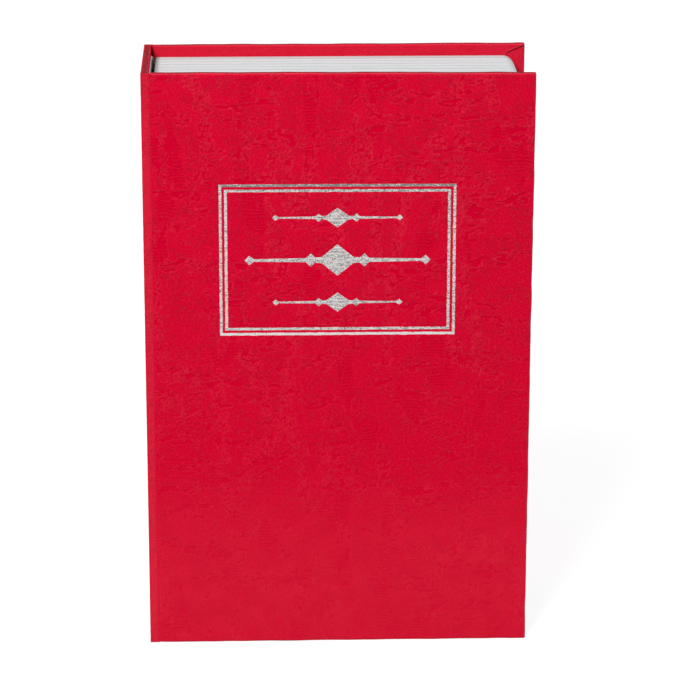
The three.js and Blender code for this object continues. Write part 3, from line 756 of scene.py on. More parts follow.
def flap(points, rim_x):
    """How far a point of a turn-in lies inside the head's or tail's flap, which is folded over the fore-edge's
    along a line that leaves the corner at a shallow slope, and how much it is lifted there."""
    aside = rim_x - points[:, 0]
    down = np.minimum(points[:, 2], BOOK_HEIGHT - points[:, 2])
    within = (0.5 + FLAP_SLOPE * aside - down) / math.hypot(1.0, FLAP_SLOPE)
    lift = FLAP_LIFT * smoothstep(within, -0.2, 0.2) * smoothstep(aside, 0.3, 1.2) * smoothstep(aside, 9.0, 5.5)
    return within + 3.0 * smoothstep(aside, 7.0, 9.0), lift


def wrapped(outer, inward, paper_u, thickness, radius, cover=False, curls=False):
    """Paper wrapped round a board. Columns follow the outer line seen from above, and rows go up the face.
    A border goes over the edge in two quarter circles with a flat between them, and in again over the
    inner face as the turn-in. The flat between the turn-ins closes the sheet."""
    paper = bpy.context.scene.book_paper
    made = Surface()
    line, into = (np.insert(way, 2, 0.0, axis=1) for way in (outer, inward))
    side, up = np.array([1.0, 0.0, 0.0]), np.array([0.0, 0.0, 1.0])

    def finished(points):
        if curls:
            points = points.copy()
            points[..., 1] -= warp(points[..., 0], points[..., 2])
        return points

    def values(u, v, edge=0.0, wear_and_highlight=0.0, embossed=1.0, fold=NO_FLAP):
        u, v, edge, wear_and_highlight, embossed, fold = np.broadcast_arrays(u, v, edge, wear_and_highlight, embossed, fold)
        strength = embossed * emboss_strength(v) * (1.0 - 0.5 * pressing(u, v))
        beside = from_fold(u)
        strip = smoothstep(beside, -0.2, 0.6) * smoothstep(beside, BOARD_START - 0.2, BOARD_START - 1.2)
        # The strip between each fold and its board gets some painted light on its bulge, in the wear and highlight
        # marks.
        return {"paper": np.stack([u, v], axis=-1), "edge": edge, "strength": strength, "fold": fold,
                "wear_and_highlight": np.maximum(wear_and_highlight, 0.28 * strip), "relief": sample("level", u, v),
                "rope": sample("rope", u, v)}

    share = np.linspace(0.0, 1.0, int(BOOK_HEIGHT / paper.grid_step))
    z = radius + share[:, None] * (BOOK_HEIGHT - 2 * radius)
    u = np.broadcast_to(paper_u, z.shape)
    points = line + z[..., None] * up + into * paper_depth(u, z)[..., None]
    face = made.grid(finished(points), **values(u, z))

    insets = (*TURN_IN_ROWS, TURN_IN - paper.edge_radius)
    end = line[-1, 0]

    def border(base, out, inn, thick, round_, slide, base_u, base_v, u_way, v_way):
        """Rows of points from the face's rim outwards, over the edge and in as far as the turn-in goes."""
        base, out, inn, slide = np.broadcast_arrays(base, out, inn, slide)
        thick, round_, base_u, base_v, _ = np.broadcast_arrays(thick, round_, base_u, base_v, base[:, 0])
        depth = paper_depth(base_u, base_v)[:, None]
        sway = np.clip(1.0 + 0.6 * sample("sway", base_u, base_v), 0.0, 2.0)[:, None]
        thick, round_ = thick[:, None], round_[:, None]
        reach = round_ - EDGE_SWAY * sway
        flat = np.maximum(thick - 2 * round_, 0.0)
        whole = round_ * math.pi + flat
        rows, runs, marks = [], [], []

        def add(row, run, edge=0.0, wear_and_highlight=0.0, embossed=1.0, fold=NO_FLAP):
            rows.append(np.broadcast_to(row, base.shape))
            runs.append(run[:, 0])
            marks.append([np.broadcast_to(mark, len(base)) for mark in (edge, wear_and_highlight, embossed, fold)])

        # Along each border the edge marks paint shade on the top of the outer rounding, the flat and the start of
        # the inner rounding, and a little on the turn-in; the other marks are wear with a painted highlight on the
        # face's rim, the outer rounding, the far part of the inner rounding and the turn-in.
        add(base + inn * depth, 0.0 * round_, wear_and_highlight=0.15)
        for t, edge, wear_and_highlight in zip(EDGE_TURNS, (0.0, 0.0, 0.2, 1.0), (0.8, 1.0, 0.9, 0.0)):
            normal = inn * math.cos(t) - out * math.sin(t)
            add(base + out * reach * math.sin(t) + inn * round_ * (1 - math.cos(t))
                + normal * (depth * math.cos(t) ** 2 * 0.7 + 0.02), round_ * t, edge, wear_and_highlight)
        for t, edge, wear_and_highlight in zip(EDGE_TURNS - EDGE_TURNS[0], (1.0, 0.8, 0.0, 0.0), (0.0, 0.2, 0.95, 0.7)):
            add(base + out * reach * math.cos(t) + inn * (thick - round_ + round_ * math.sin(t)),
                round_ * math.pi / 2 + flat + round_ * t, edge, wear_and_highlight, 0.4)
        for inset in insets:
            row = base + slide * inset
            within, lift = flap(row, end + paper.edge_radius) if cover else (NO_FLAP, 0.0)
            sag = TURN_IN_SAG * math.sin(math.pi * min(inset / SAG_REACH, 1.0))
            add(row + inn * (thick + np.reshape(lift, (-1, 1)) - sag), whole + inset, 0.1, 0.1, 0.4, within)
        add(base + inn * (thick - paper.sheet) + slide * insets[-1], whole + insets[-1] + paper.sheet)
        run = np.array(runs)
        names = ("edge", "wear_and_highlight", "embossed", "fold")
        marks = dict(zip(names, np.moveaxis(np.array(marks), 1, 0)))
        return made.grid(finished(np.array(rows)), **values(base_u + u_way * run, base_v + v_way * run, **marks))

    start = SPINE_X + MITRE_START
    squeeze = side * -np.clip((line[:, :1] - start) / (end - start), 0.0, 1.0) * cover
    rims = ((-1.0, radius), (1.0, BOOK_HEIGHT - radius))
    tail, head = [border(line + up * rim[:, None], sign * up, into, thickness, radius, squeeze - sign * up,
                         paper_u, rim, 0.0, sign) for sign, rim in rims]
    made.cap(face[:, 0], head[1:, 0], tail[:0:-1, 0])
    if not cover:
        made.strip(tail[-1], head[-1])
        made.cap(face[:, -1], head[1:, -1], tail[:0:-1, -1])
        return made

    # Fore-edge and its two corners.
    way = 1.0 if paper_u[-1] > paper_u[0] else -1.0
    rise = z[:, -1]
    last = into[-1], thickness[-1], radius[-1]
    middle = BOOK_HEIGHT / 2
    lean = (middle - rise) / (middle - radius[-1])
    fore = border(line[-1] + rise[:, None] * up, side, *last, -side + lean[:, None] * up, paper_u[-1], rise,
                  way, 0.0)
    spread = np.linspace(0.0, math.pi / 2, 6)
    for sign, rim in rims:
        out = side * np.cos(spread)[:, None] + sign * up * np.sin(spread)[:, None]
        border(line[-1] + up * rim[-1], out, *last, -side - sign * up, paper_u[-1], rim[-1],
               way * np.cos(spread), sign * np.sin(spread))
    strip = int(np.searchsorted(np.abs(line[:, 0] - SPINE_X), BOARD_START + 0.1))
    made.strip(tail[-1][:strip + 1], head[-1][:strip + 1])
    made.cap(tail[-1][strip:], fore[-1][1:-1], head[-1][strip:][::-1])
    return made


def cover_line(sign):
    """The outer line of a cover seen from above, from the spine's side of its fold: straight, a quarter
    circle round the corner and straight to the fore-edge. The sign is 1 for the front and -1 for the back."""
    paper = bpy.context.scene.book_paper
    fold, r = paper.fold_radius, paper.edge_radius
    angle = np.linspace(0.0, math.pi / 2, 10)
    bend = len(angle)
    strip = np.unique(np.concatenate([np.linspace(fold, BOARD_WALL[0], 12), np.linspace(*BOARD_WALL, 8),
                                      np.linspace(BOARD_WALL[1], BOARD_START + 0.6, 3)]))
    rest = np.linspace(strip[-1], BOOK_WIDTH - r, int((BOOK_WIDTH - r - strip[-1]) / paper.grid_step))
    x = np.concatenate([fold * (1 - np.sin(angle[::-1])), strip[1:], rest[1:]])
    depth = np.zeros(len(x))
    depth[:bend] = fold * (1 - np.cos(angle[::-1]))
    normal = np.zeros((len(x), 2))
    normal[:, 1] = sign
    normal[:bend, 0], normal[:bend, 1] = np.cos(angle), sign * np.sin(angle)
    run = np.concatenate([fold * (angle - math.pi / 2) + fold, x[bend:]])
    outer = np.stack([SPINE_X + x, FACE_Y[sign] + sign * depth], axis=1)
    return outer, normal, run, x


class BOOK_OT_wraps(bpy.types.Operator):
    """Wrap the front cover, the spine and the back cover in embossed red paper"""

    bl_idname = "book.wraps"
    bl_label = "Paper wraps"

    def execute(self, context):
        paper = context.scene.book_paper
        middle, half = FOLD_OPENING / 2, 0.005
        for name, node, sign in (("front_wrap_paper", "front_cover_wrap", 1.0),
                                 ("back_wrap_paper", "back_cover_wrap", -1.0)):
            outer, normal, run, x = cover_line(sign)
            thickness = FOLD_DEPTH + (COVER_DEPTH - FOLD_DEPTH) * smoothstep(x, *BOARD_WALL)
            radius = np.minimum(paper.edge_radius, thickness / 2)
            u = run if sign > 0 else -BOOK_DEPTH - run
            made = wrapped(outer, normal, u, thickness, radius, cover=True, curls=sign > 0)
            made = made.object(name, finish("red_paper"))
            spine_side = (SPINE_X + middle - half, FACE_Y[sign] + sign * (middle + half), 0.0)
            cover_side = (SPINE_X + middle + half, FACE_Y[sign] + sign * (middle - half), 0.0)
            if sign > 0:
                bent(made, "red_paper", ("spine", "front_cover"), spine_side, cover_side, node)
            else:
                bent(made, "red_paper", ("strong_box", "spine"), cover_side, spine_side, node)
        y = np.linspace(FRONT_Y + FOLD_OPENING, BACK_Y - FOLD_OPENING, int(BOOK_DEPTH / paper.grid_step))
        full = np.ones(len(y))
        outer, normal = np.stack([SPINE_X * full, y], axis=1), np.stack([full, 0.0 * full], axis=1)
        made = wrapped(outer, normal, FRONT_Y - y, COVER_DEPTH * full, paper.edge_radius * full)
        made.piece("spine_wrap_paper", "red_paper", "spine", "spine_wrap")
        return {"FINISHED"}


# Linings and boards.

LINING_SHEET = 0.27
LINING_GAP = 0.02
BOARD_STEP = 0.28


def on_board(inside):
    """0 where a lining lies on the turn-ins and 1 where it lies on the board, eased over two millimetres."""
    return smoothstep(inside, TURN_IN - 1.0, TURN_IN + 1.0)


def lining_depths(inside):
    """Depths of a lining's two faces under a cover's or the spine's face."""
    under = COVER_DEPTH + LINING_GAP - BOARD_STEP * on_board(inside)
    return under + LINING_SHEET, under


def joint_lining(path, sign, thickness):
    """A strip of lining paper whose middle line, seen from above, is a smooth curve through the path. A row of
    the path is (place from the spine's face, depth under the cover's face, margin at head and tail, and how far
    place and depth sink between the turn-ins, which may be left out)."""
    path = np.array([(*row, 0.0, 0.0)[:5] for row in path])
    knots = np.concatenate([[0.0], np.cumsum(np.hypot(*np.diff(path[:, :2], axis=0).T))])
    run = np.linspace(0.0, knots[-1], 49)
    line = np.stack([np.interp(run, knots, column) for column in path.T], axis=1)
    for _ in range(2):
        line[1:-1] = 0.25 * line[:-2] + 0.5 * line[1:-1] + 0.25 * line[2:]
    way = np.gradient(line[:, :2], axis=0)
    way /= np.hypot(*way.T)[:, None]
    side = np.stack([-way[:, 1], way[:, 0]], axis=1) * thickness / 2
    margin = line[:, 2, None]
    z = margin + np.linspace(0.0, 1.0, 90) * (BOOK_HEIGHT - 2 * margin)
    sunk = on_board(np.minimum(z, BOOK_HEIGHT - z))
    grids = []
    for edge in (line[:, :2] + side, line[:, :2] - side):
        place, depth = edge[:, :1] - sunk * line[:, 3:4], edge[:, 1:] - sunk * line[:, 4:]
        grids.append(xyz(SPINE_X + place, FACE_Y[sign] + sign * depth, z))
    return slab(grids)


class BOOK_OT_linings(bpy.types.Operator):
    """Line the covers and the spine with white paper, with a folded strip across each joint"""

    bl_idname = "book.linings"
    bl_label = "Linings"

    def execute(self, context):
        for name, node, body, sign in (("front_lining_paper", "front_endpaper", "front_cover", 1.0),
                                       ("back_lining_paper", "back_endpaper", "strong_box", -1.0)):
            x, z = places(*box(node), 0, 2, (60, 90))
            spine_turn_in = SPINE_X + BOARD_START - 2 * TURN_IN
            inside = np.minimum.reduce([x - spine_turn_in, SPINE_X + BOOK_WIDTH - x, z, BOOK_HEIGHT - z])
            face_y = FRONT_Y - warp(x, z) if sign > 0 else BACK_Y
            made = slab([xyz(x, face_y + sign * depth, z) for depth in lining_depths(inside)])
            made.piece(name, "white_paper", body, node)
        y, z = places(*box("spine_lining"), 1, 2, (40, 90))
        depths = lining_depths(np.minimum(z, BOOK_HEIGHT - z))
        made = slab([xyz(SPINE_X + depth, y, z) for depth in depths])
        made.piece("spine_lining_paper", "white_paper", "spine", "spine_lining")

        path = [(0.14, 0.455, 4.0), (3.30, 0.455, 4.6), (3.54, 0.47, 4.8), (3.60, 0.85, 5.0), (3.68, 1.66, 5.3),
                (3.76, 2.50, 5.6, 0, 0.17), (3.86, 3.00, 6.0, 0, 0.28), (4.02, 3.07, 6.0, 0, 0.28)]
        joint_lining(path, 1.0, 0.07).piece("front_joint_lining", "white_paper", "front_cover")
        path = [(0.14, 0.555, 4.0), (2.50, 0.555, 4.0), (2.80, 0.555, 4.0, 0.1), (3.00, 0.555, 4.0, 0.28),
                (3.01, 0.75, 4.0, 0.28), (3.01, 2.0, 4.0, 0.28), (3.02, 4.0, 4.0, 0.28), (3.06, 4.6, 4.0, 0.28)]
        joint_lining(path, 1.0, 0.06).piece("spine_joint_lining", "white_paper", "spine")
        made = joint_lining([(1.40, 0.508, 4.0), (0.44, 0.508, 4.0)], 1.0, 0.02)
        bent(made.object("fold_lining", finish("white_paper")), "white_paper", ("spine", "front_cover"),
             (SPINE_X + 0.9, FRONT_Y, 0.0), (SPINE_X + 0.885, FRONT_Y, 0.0))
        path = [(3.28, 9.0, 4.0, 0.28), (3.30, 5.9, 4.0, 0.28), (3.42, 4.9, 4.0, 0.2),
                (3.75, 4.15, 4.6, 0.1, 0.1), (4.20, 3.62, 5.4, 0, 0.2), (4.42, 3.36, 6.0, 0, 0.28)]
        made = joint_lining(path, -1.0, 0.14)
        bent(made.object("back_joint_lining", finish("white_paper")), "white_paper", ("strong_box", "spine"),
             (SPINE_X + 4.3, BACK_Y - 3.45, 0.0), (SPINE_X + 3.35, BACK_Y - 5.4, 0.0))
        return {"FINISHED"}


class BOOK_OT_boards(bpy.types.Operator):
    """Curl the front cover's grey board, and give the two others their finish"""

    bl_idname = "book.boards"
    bl_label = "Boards"

    def execute(self, context):
        low, high = box("front_board")
        x, z = places(low, high, 0, 2, (40, 60))
        made = slab([xyz(x, y - warp(x, z), z) for y in (low[1], high[1])])
        made.piece("front_board_curled", "grey_board", "front_cover", "front_board")
        for node in ("back_board", "spine_board"):
            mesh = frame["nodes"][node].data
            mesh.materials.clear()
            mesh.materials.append(finish("grey_board"))
        return {"FINISHED"}


# Foil.

FOIL_RAISE = 0.05
FOIL_SINK = 0.03


def foil_grids(x, z):
    """The foil's face and its underside, following the pressed paper."""
    y = FRONT_Y + paper_depth(x - SPINE_X, z) - warp(x, z)
    return [xyz(x, level, z) for level in (y - FOIL_RAISE, y + FOIL_SINK)]


def foil_frame(node, tarnish):
    """A rectangular line of foil with square corners: points round the rectangle, each with four across, since
    the foil stays a little inside its pressed channel. Its painted reflection shade, a darkening of a whole
    side for what that side reflects (below zero it lightens), is given for its tail, fore-edge, head and spine
    sides."""
    x0, x1, z0, z1 = outline(node)
    corners = np.array([(x0, z0), (x1, z0), (x1, z1), (x0, z1)])
    inner = corners + FOIL_LINE * np.array([(1, 1), (-1, 1), (-1, -1), (1, -1)])
    lines = corners + (inner - corners) * np.linspace(0.07, 0.93, 4)[:, None, None]
    following = np.roll(lines, -1, axis=1)
    share = np.linspace(0.0, 1.0, 130, endpoint=False)[:, None]
    ring = (lines[:, :, None, :] + (following - lines)[:, :, None, :] * share).reshape(4, -1, 2)
    for edge in (0, 3):
        x, z = ring[edge].T
        stray = [sample("pucker", x * 3 % 180 + shift, z * 2.7 % 230) for shift in (0, 9)]
        ring[edge] += 0.04 * np.stack(stray, axis=-1)
    face, under = foil_grids(ring[..., 0], ring[..., 1])
    loop = np.concatenate([face, under[::-1]])
    made = Surface()
    made.grid(loop, close_rows=True, close_columns=True, tarnish=np.repeat(tarnish, len(share)),
              paper=loop[..., ::2])
    return made


def foil_rule(node):
    """A tapered rule of foil: half its height is given along its length, and its ends come to a point."""
    low, high = box(node)
    middle, half = (low + high) / 2, (high - low) / 2
    along = np.unique(np.concatenate([np.linspace(-1.0, 1.0, 141), RULE_SHARES[:, 0], -RULE_SHARES[:, 0]]))
    reach = rule_half_height(along * half[0], 2 * half[0], 2 * half[2])
    z = middle[2] + np.linspace(-1.0, 1.0, 9)[:, None] * reach
    x = np.broadcast_to(middle[0] + along * half[0], z.shape)
    # An even painted reflection shade on the rules.
    return slab(foil_grids(x, z), tarnish=0.3, paper=np.stack([x, z], axis=-1))


class BOOK_OT_foil(bpy.types.Operator):
    """Press the silver frame and its three tapered rules into the front cover"""

    bl_idname = "book.foil"
    bl_label = "Silver foil"

    def execute(self, context):
        # Painted reflection shade for each side: darkest along the outer frame's head, lightest along its tail.
        for node, tarnish in (("title_frame_outer", (-0.9, 0.2, 1.2, 0.2)),
                              ("title_frame_inner", (0.2, 0.3, 0.5, 0.0))):
            foil_frame(node, tarnish).piece(node + "_foil", "silver_foil", "front_cover", node)
        for node in RULES:
            foil_rule(node).piece(node + "_foil", "silver_foil", "front_cover", node)
        return {"FINISHED"}


# Page moulding.

GROOVE_PITCH = 5.0
GROOVE_STRENGTHS = (0.6, 0.9, 0.5, 0.8, 1.0, 0.75, 0.85, 0.55, 1.0)
LEAF_PITCH = 1.25


def page_inset(y, middle):
    """How far the pages' face lies in at a place in the book's thickness: deep grooves at an even pitch with
    unequal strengths, shallow ones between them, and fine leaves."""
    inset = np.zeros_like(y)
    for i, strength in enumerate(GROOVE_STRENGTHS):
        away = y - middle - GROOVE_PITCH * (i - len(GROOVE_STRENGTHS) // 2)
        inset += 0.5 * strength * np.exp(-(away / 0.55) ** 2)
        inset += 0.2 * strength * np.exp(-((away - GROOVE_PITCH / 2) / 0.4) ** 2)
    return inset + 0.05 * (1.0 + np.cos(2 * math.pi * y / LEAF_PITCH))


class BOOK_OT_pages(bpy.types.Operator):
    """Make the white moulding with page grooves on three sides"""

    bl_idname = "book.pages"
    bl_label = "Page moulding"

    def execute(self, context):
        low, high = box("page_block")
        sides = outline("page_block")
        recess = outline("box_shell") + GROW * 0.5
        window = TRAY_WALLS + GROW * 0.4
        hollow = sides - GROW * np.array([2.4, 2.9, 2.9, 2.9])
        web = box("box_shell")[0][1] + 1.05
        web_back = web + 2.0
        front_round, back_round, recess_round, corner = 0.6, 0.3, 0.5, 5.0
        # The groove values are painted shade in the page grooves, by how deep each groove is.
        rows, groove = [], []

        def add(bounds, low_r, high_r, y, value=0.0):
            rows.append((bounds, low_r, high_r, y))
            groove.append(value)

        def outside(inset, y, value=0.0):
            insets = np.array([0.15 * min(inset, 0.6), inset, inset, inset])
            add(sides - GROW * insets, 0.4, corner - inset, y, value)

        ys = np.linspace(low[1] + front_round, high[1] - back_round, int((high[1] - low[1]) / 0.36))
        for y, inset in zip(ys, page_inset(ys, (low[1] + high[1]) / 2)):
            outside(inset, y, min(1.0, inset / 0.35))
        for left, gone in quarter_turn(4)[1:]:
            outside(back_round * gone + 0.05, high[1] - back_round * left)
        add(hollow, 1.0, 3.0, high[1])
        add(hollow, 1.0, 3.0, web_back)
        add(window, 0.6, 0.6, web_back)
        add(window, 0.6, 0.6, web)
        add(recess, 0.8, 0.8, web)
        for left, gone in quarter_turn(4):
            grow = recess_round * gone
            add(recess + grow * GROW, 0.8 + grow, 0.8 + grow, low[1] + recess_round * left)
        for left, gone in quarter_turn(4)[:0:-1]:
            outside(front_round * gone + 0.05, low[1] + front_round * left)
        made = Surface()
        loops = stacked_loops(rows, side_points=(70, 110), corner_points=9)
        from_spine = loops[..., 0] - low[0]
        groove = np.array(groove)[:, None] * smoothstep(from_spine, 0.2, 1.0)
        # The outer rows at the spine side are painted black as shade for the slot beside the spine lining.
        outer = np.array([bounds[0] < low[0] + 1.0 for bounds, *_ in rows])[:, None]
        made.grid(loops, close_rows=True, close_columns=True, groove=groove,
                  black=outer * smoothstep(from_spine, 0.6, 0.3))
        made.piece("page_moulding", "white_plastic", "strong_box", "page_block", sharp=40.0)
        return {"FINISHED"}


# Metalwork.

SHARP = 35.0


def softened(node, slot, width, segments=2):
    """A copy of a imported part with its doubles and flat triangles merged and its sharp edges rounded."""
    mesh = frame["nodes"][node].data.copy()
    mesh.name = node + "_softened"
    work = bmesh.new()
    work.from_mesh(mesh)
    bmesh.ops.remove_doubles(work, verts=work.verts, dist=1e-6)
    bmesh.ops.dissolve_limit(work, angle_limit=math.radians(1.0), verts=work.verts, edges=work.edges)
    sharp = [edge for edge in work.edges
             if len(edge.link_faces) == 2 and edge.calc_face_angle() > math.radians(SHARP)]
    bmesh.ops.bevel(work, geom=sharp, offset=width * MM, offset_type="OFFSET", segments=segments, profile=0.5,
                    affect="EDGES", clamp_overlap=True)
    return placed(shown(node + "_softened", mesh, work, finish(slot), SHARP), slot, BODY_OF[node], node)


class BOOK_OT_box(bpy.types.Operator):
    """Fold the steel tray and its lid"""

    bl_idname = "book.box"
    bl_label = "Steel box and lid"

    def execute(self, context):
        fine, coarse = quarter_turn(5), quarter_turn(3)
        sheet, bend, deburr = 1.0, 1.4, 0.2
        low, high = box("box_shell")
        rim = outline("box_shell")
        inner = TRAY_WALLS - GROW * sheet
        front, rim_back, back = low[1], low[1] + sheet, high[1]
        rows = [(inner - GROW * bend * left, max(2.0 - bend * left, 0.3), back - sheet - bend * gone)
                for left, gone in fine]
        rows += [(inner + GROW * bend * gone, 2.0 + bend * gone, front + bend * left) for left, gone in fine]
        rows += [(rim - GROW * deburr * left, 2.0, front + deburr * gone) for left, gone in coarse]
        rows += [(rim - GROW * deburr * gone, 2.0, rim_back - deburr * left) for left, gone in coarse]
        rows += [(TRAY_WALLS + GROW * 0.3, 3.2, rim_back), (TRAY_WALLS, 3.0, rim_back + 0.3)]
        rows += [(TRAY_WALLS - GROW * gone, 2.0, back - left) for left, gone in coarse]
        self.form("steel_tray", rows, "strong_box", "box_shell")

        low, high = box("lid")
        plate = outline("lid")
        pan = TRAY_WALLS - GROW * 2.2
        front, plate_back, end = low[1], low[1] + sheet, high[1]
        rows = [(plate - GROW * 0.45 * left, 3.0, front + 0.45 * gone) for left, gone in fine]
        rows += [(plate - GROW * 0.15 * gone, 3.0, plate_back - 0.15 * left) for left, gone in coarse]
        rows += [(pan + GROW * 0.4, 2.4, plate_back), (pan, 2.0, plate_back + 0.4)]
        rows += [(pan - GROW * 0.3 * gone, 2.0, end - 0.3 * left) for left, gone in coarse]
        rows += [(pan - GROW * sheet, 1.2, end), (pan - GROW * sheet, 1.2, plate_back + 0.6),
                 (pan - GROW * (sheet + 0.6), 0.8, plate_back)]
        self.form("steel_lid", rows, "lid", "lid")
        return {"FINISHED"}

    def form(self, name, rows, body, node):
        """A pan from rows of (outline, corner radius, y), closed at its first and last row."""
        made = Surface()
        index = made.grid(stacked_loops([(bounds, r, r, y) for bounds, r, y in rows]), close_columns=True)
        made.cap(index[0])
        made.cap(index[-1])
        made.piece(name, "black_paint", body, node)


class BOOK_OT_lock(bpy.types.Operator):
    """Turn the lock's threaded barrel, its nut and its cam screw, and soften its other pieces"""

    bl_idname = "book.lock"
    bl_label = "Cam lock"

    def execute(self, context):
        low, high = box("lock_body")
        centre = (low[0] + high[0]) / 2, (low[2] + high[2]) / 2
        front, back, bezel, barrel, bore = low[1], high[1], (high[0] - low[0]) / 2, 8.0, 5.5
        seat = front + 1.6
        rows = [(bore, front + 0.25), (bore + 0.25, front), (7.1, front), (7.25, front + 0.15),
                (7.75, front + 0.15), (7.9, front), (bezel - 1.5, front), (bezel - 0.9, front + 0.15),
                (bezel - 0.3, front + 0.6), (bezel, front + 1.1), (bezel, seat - 0.15), (bezel - 0.15, seat),
                (barrel, seat), (barrel, seat + 0.9)]
        rows += [(barrel, place, 0.0, math.inf, 0.35) for place in np.arange(seat + 1.0, back - 0.7, 0.2)]
        rows += [(barrel - 0.4, back - 0.4), (barrel - 0.7, back), (bore + 0.3, back), (bore, back - 0.3)]
        self.form("lock_body", "chrome", turned(rows, centre))

        low, high = box("lock_nut")
        start, end, hole = low[1], high[1], 8.3
        flat = min(high[0] - low[0], high[2] - low[2]) / 2
        corner = 0.0 if high[0] - low[0] > high[2] - low[2] else math.pi / 6
        chamfer = [(rise, flat + 1.75 * rise) for rise in (0.15, 0.35, 0.6, 0.9)]
        rows = [(hole, start + 0.35), (hole + 0.35, start), (flat - 0.1, start)]
        rows += [(flat, start + rise, 1.0, limit) for rise, limit in chamfer]
        rows += [(flat, end - rise, 1.0, limit) for rise, limit in chamfer[::-1]]
        rows += [(flat - 0.1, end), (hole + 0.35, end), (hole, end - 0.35)]
        self.form("lock_nut", "zinc_steel", turned(rows, centre, corner))

        low, high = box("lock_cam_screw")
        head, top, shank, key = (high[0] - low[0]) / 2, high[1], 1.5, 1.6
        neck = top - 2.0
        rows = [(0.0, low[1]), (shank - 0.3, low[1]), (shank, low[1] + 0.3), (shank, neck), (head - 0.15, neck),
                (head, neck + 0.15), (head, neck + 0.9), (head - 0.15, neck + 1.4), (head - 0.55, neck + 1.8),
                (head - 1.1, top), (key + 0.15, top, 1.0), (key, top - 0.15, 1.0), (key, top - 1.3, 1.0),
                (0.0, top - 1.5)]
        self.form("lock_cam_screw", "zinc_steel", turned(rows, centre, segments=48), ring=False)
        softened("lock_washer", "zinc_steel", 0.15)
        softened("lock_cam", "zinc_steel", 0.3)
        softened("lock_plug", "chrome", 0.12)
        return {"FINISHED"}

    def form(self, node, slot, points, ring=True):
        made = Surface()
        made.grid(points, close_rows=ring, close_columns=True)
        made.piece(node + "_turned", slot, BODY_OF[node], node, sharp=30.0)


class BOOK_OT_metal(bpy.types.Operator):
    """Soften the edges of the hinges, the strike and the rivets"""

    bl_idname = "book.metal"
    bl_label = "Hinges, strike and rivets"

    def execute(self, context):
        for hinge in ("upper_hinge", "lower_hinge"):
            softened(hinge + "_box_leaf", "black_paint", 0.12)
            softened(hinge + "_lid_leaf", "black_paint", 0.12)
            softened(hinge + "_pin", "zinc_steel", 0.2, 3)
        softened("strike_plate", "zinc_steel", 0.25)
        for node in BODY_OF:
            if "rivet" in node:
                softened(node, "aluminium", 0.6, 3)
        return {"FINISHED"}


# Stage.

WHITE = (1.0, 1.0, 1.0)
FLOOR_GREY = (0.45, 0.45, 0.45)
FLOOR_GLOW = 0.74
FLOOR_REACH = 6000.0
FLOOR_DROP = 0.05
TARGET = (5.62, 0.0, 117.38)
# The lamps' places and size, in metres.
KEY_PLACE = (-0.75, -1.5, 1.5)
BACK_PLACE = (0.8, 1.1, 1.8)
LAMP_SIZE = 0.8


def seen(nodes):
    """1 for the rays that the camera, gloss or glass sends out, and 0 for others."""
    camera, gloss, glass = (nodes.node("LightPath", output=f"Is {kind} Ray")
                            for kind in ("Camera", "Glossy", "Transmission"))
    return camera.math("MAXIMUM", gloss).math("MAXIMUM", glass)


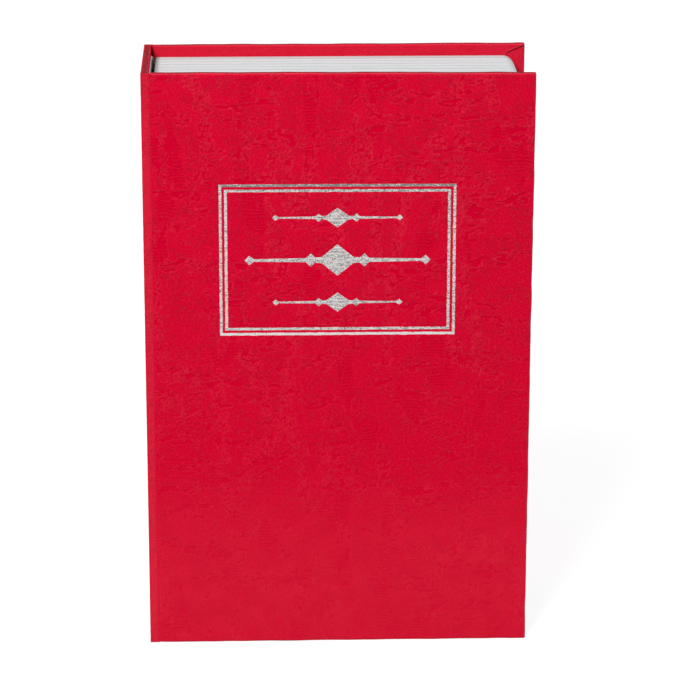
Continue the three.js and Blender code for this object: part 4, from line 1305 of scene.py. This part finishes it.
class BOOK_OT_stage(bpy.types.Operator):
    """Set up the pale floor, the white surroundings, the lamps and the camera"""

    bl_idname = "book.stage"
    bl_label = "Stage"

    def execute(self, context):
        scene, stage = context.scene, context.scene.book_stage
        floor = Surface()
        ticks = np.linspace(-FLOOR_REACH, FLOOR_REACH, 3)
        floor.grid(xyz(ticks[:, None], ticks, -FLOOR_DROP))
        material = bpy.data.materials.new("pale_floor")
        nodes = Nodes(material)
        diffuse = nodes.node("BsdfDiffuse", {"Color": FLOOR_GREY})
        glow = nodes.node("Emission", {"Strength": FLOOR_GLOW * seen(nodes)})
        nodes.node("OutputMaterial", {"Surface": nodes.node("AddShader", {0: diffuse, 1: glow})})
        floor.object("floor", material)

        scene.world = bpy.data.worlds.new("white_surroundings")
        nodes = Nodes(scene.world)
        light, shine = (nodes.node("Background", {"Color": WHITE, "Strength": strength})
                        for strength in (stage.surroundings, 1.0))
        nodes.node("OutputWorld", {"Surface": nodes.node("MixShader", {0: seen(nodes), 1: light, 2: shine})})

        target = Vector(TARGET) * MM
        self.lamp("key_lamp", stage.key_light, KEY_PLACE, target)
        self.lamp("back_lamp", stage.back_light, BACK_PLACE, target)
        azimuth, elevation = -stage.azimuth, stage.elevation
        back = Vector((math.sin(azimuth) * math.cos(elevation),
                       -math.cos(azimuth) * math.cos(elevation), math.sin(elevation)))
        camera = bpy.data.objects.new("camera", bpy.data.cameras.new("camera"))
        scene.collection.objects.link(camera)
        turn = back.to_track_quat("Z", "Y").to_matrix() @ Matrix.Rotation(stage.roll, 3, "Z")
        camera.matrix_world = Matrix.Translation(target + back * stage.distance) @ turn.to_4x4()
        camera.data.lens, camera.data.sensor_width = stage.lens, 36.0
        camera.data.clip_start, camera.data.clip_end = 0.05, 50.0
        scene.camera = camera
        scene.view_settings.view_transform = "Standard"
        return {"FINISHED"}

    def lamp(self, name, power, place, target):
        """A square soft lamp at a place, pointed at the target."""
        data = bpy.data.lights.new(name, "AREA")
        data.energy, data.size = power, LAMP_SIZE
        made = bpy.data.objects.new(name, data)
        bpy.context.scene.collection.objects.link(made)
        made.location = place
        made.rotation_euler = (target - Vector(place)).to_track_quat("-Z", "Y").to_euler()


class BOOK_PT_panel(bpy.types.Panel):
    """Lists the steps that make the book strong box"""

    bl_idname = "BOOK_PT_panel"
    bl_label = "Book Box"
    bl_space_type = "VIEW_3D"
    bl_region_type = "UI"
    bl_category = "Book Box"

    def draw(self, context):
        for group in SETTINGS:
            settings = getattr(context.scene, group)
            for name in settings.__annotations__:
                self.layout.prop(settings, name)
        for operator in OPERATORS:
            self.layout.operator(operator.bl_idname)


SETTINGS = {"book_paper": PaperSettings, "book_finish": FinishSettings, "book_stage": StageSettings}
OPERATORS = (BOOK_OT_stage, BOOK_OT_wraps, BOOK_OT_linings, BOOK_OT_boards, BOOK_OT_foil, BOOK_OT_pages,
             BOOK_OT_box, BOOK_OT_lock, BOOK_OT_metal)
CLASSES = (*SETTINGS.values(), *OPERATORS, BOOK_PT_panel)


def register():
    for item in CLASSES:
        bpy.utils.register_class(item)
    for name, settings in SETTINGS.items():
        setattr(bpy.types.Scene, name, PointerProperty(type=settings))


def unregister():
    for name in SETTINGS:
        delattr(bpy.types.Scene, name)
    for item in reversed(CLASSES):
        bpy.utils.unregister_class(item)


def main():
    register()
    for operator in OPERATORS:
        group, name = operator.bl_idname.split(".")
        getattr(getattr(bpy.ops, group), name)()


if __name__ == "__main__":
    main()
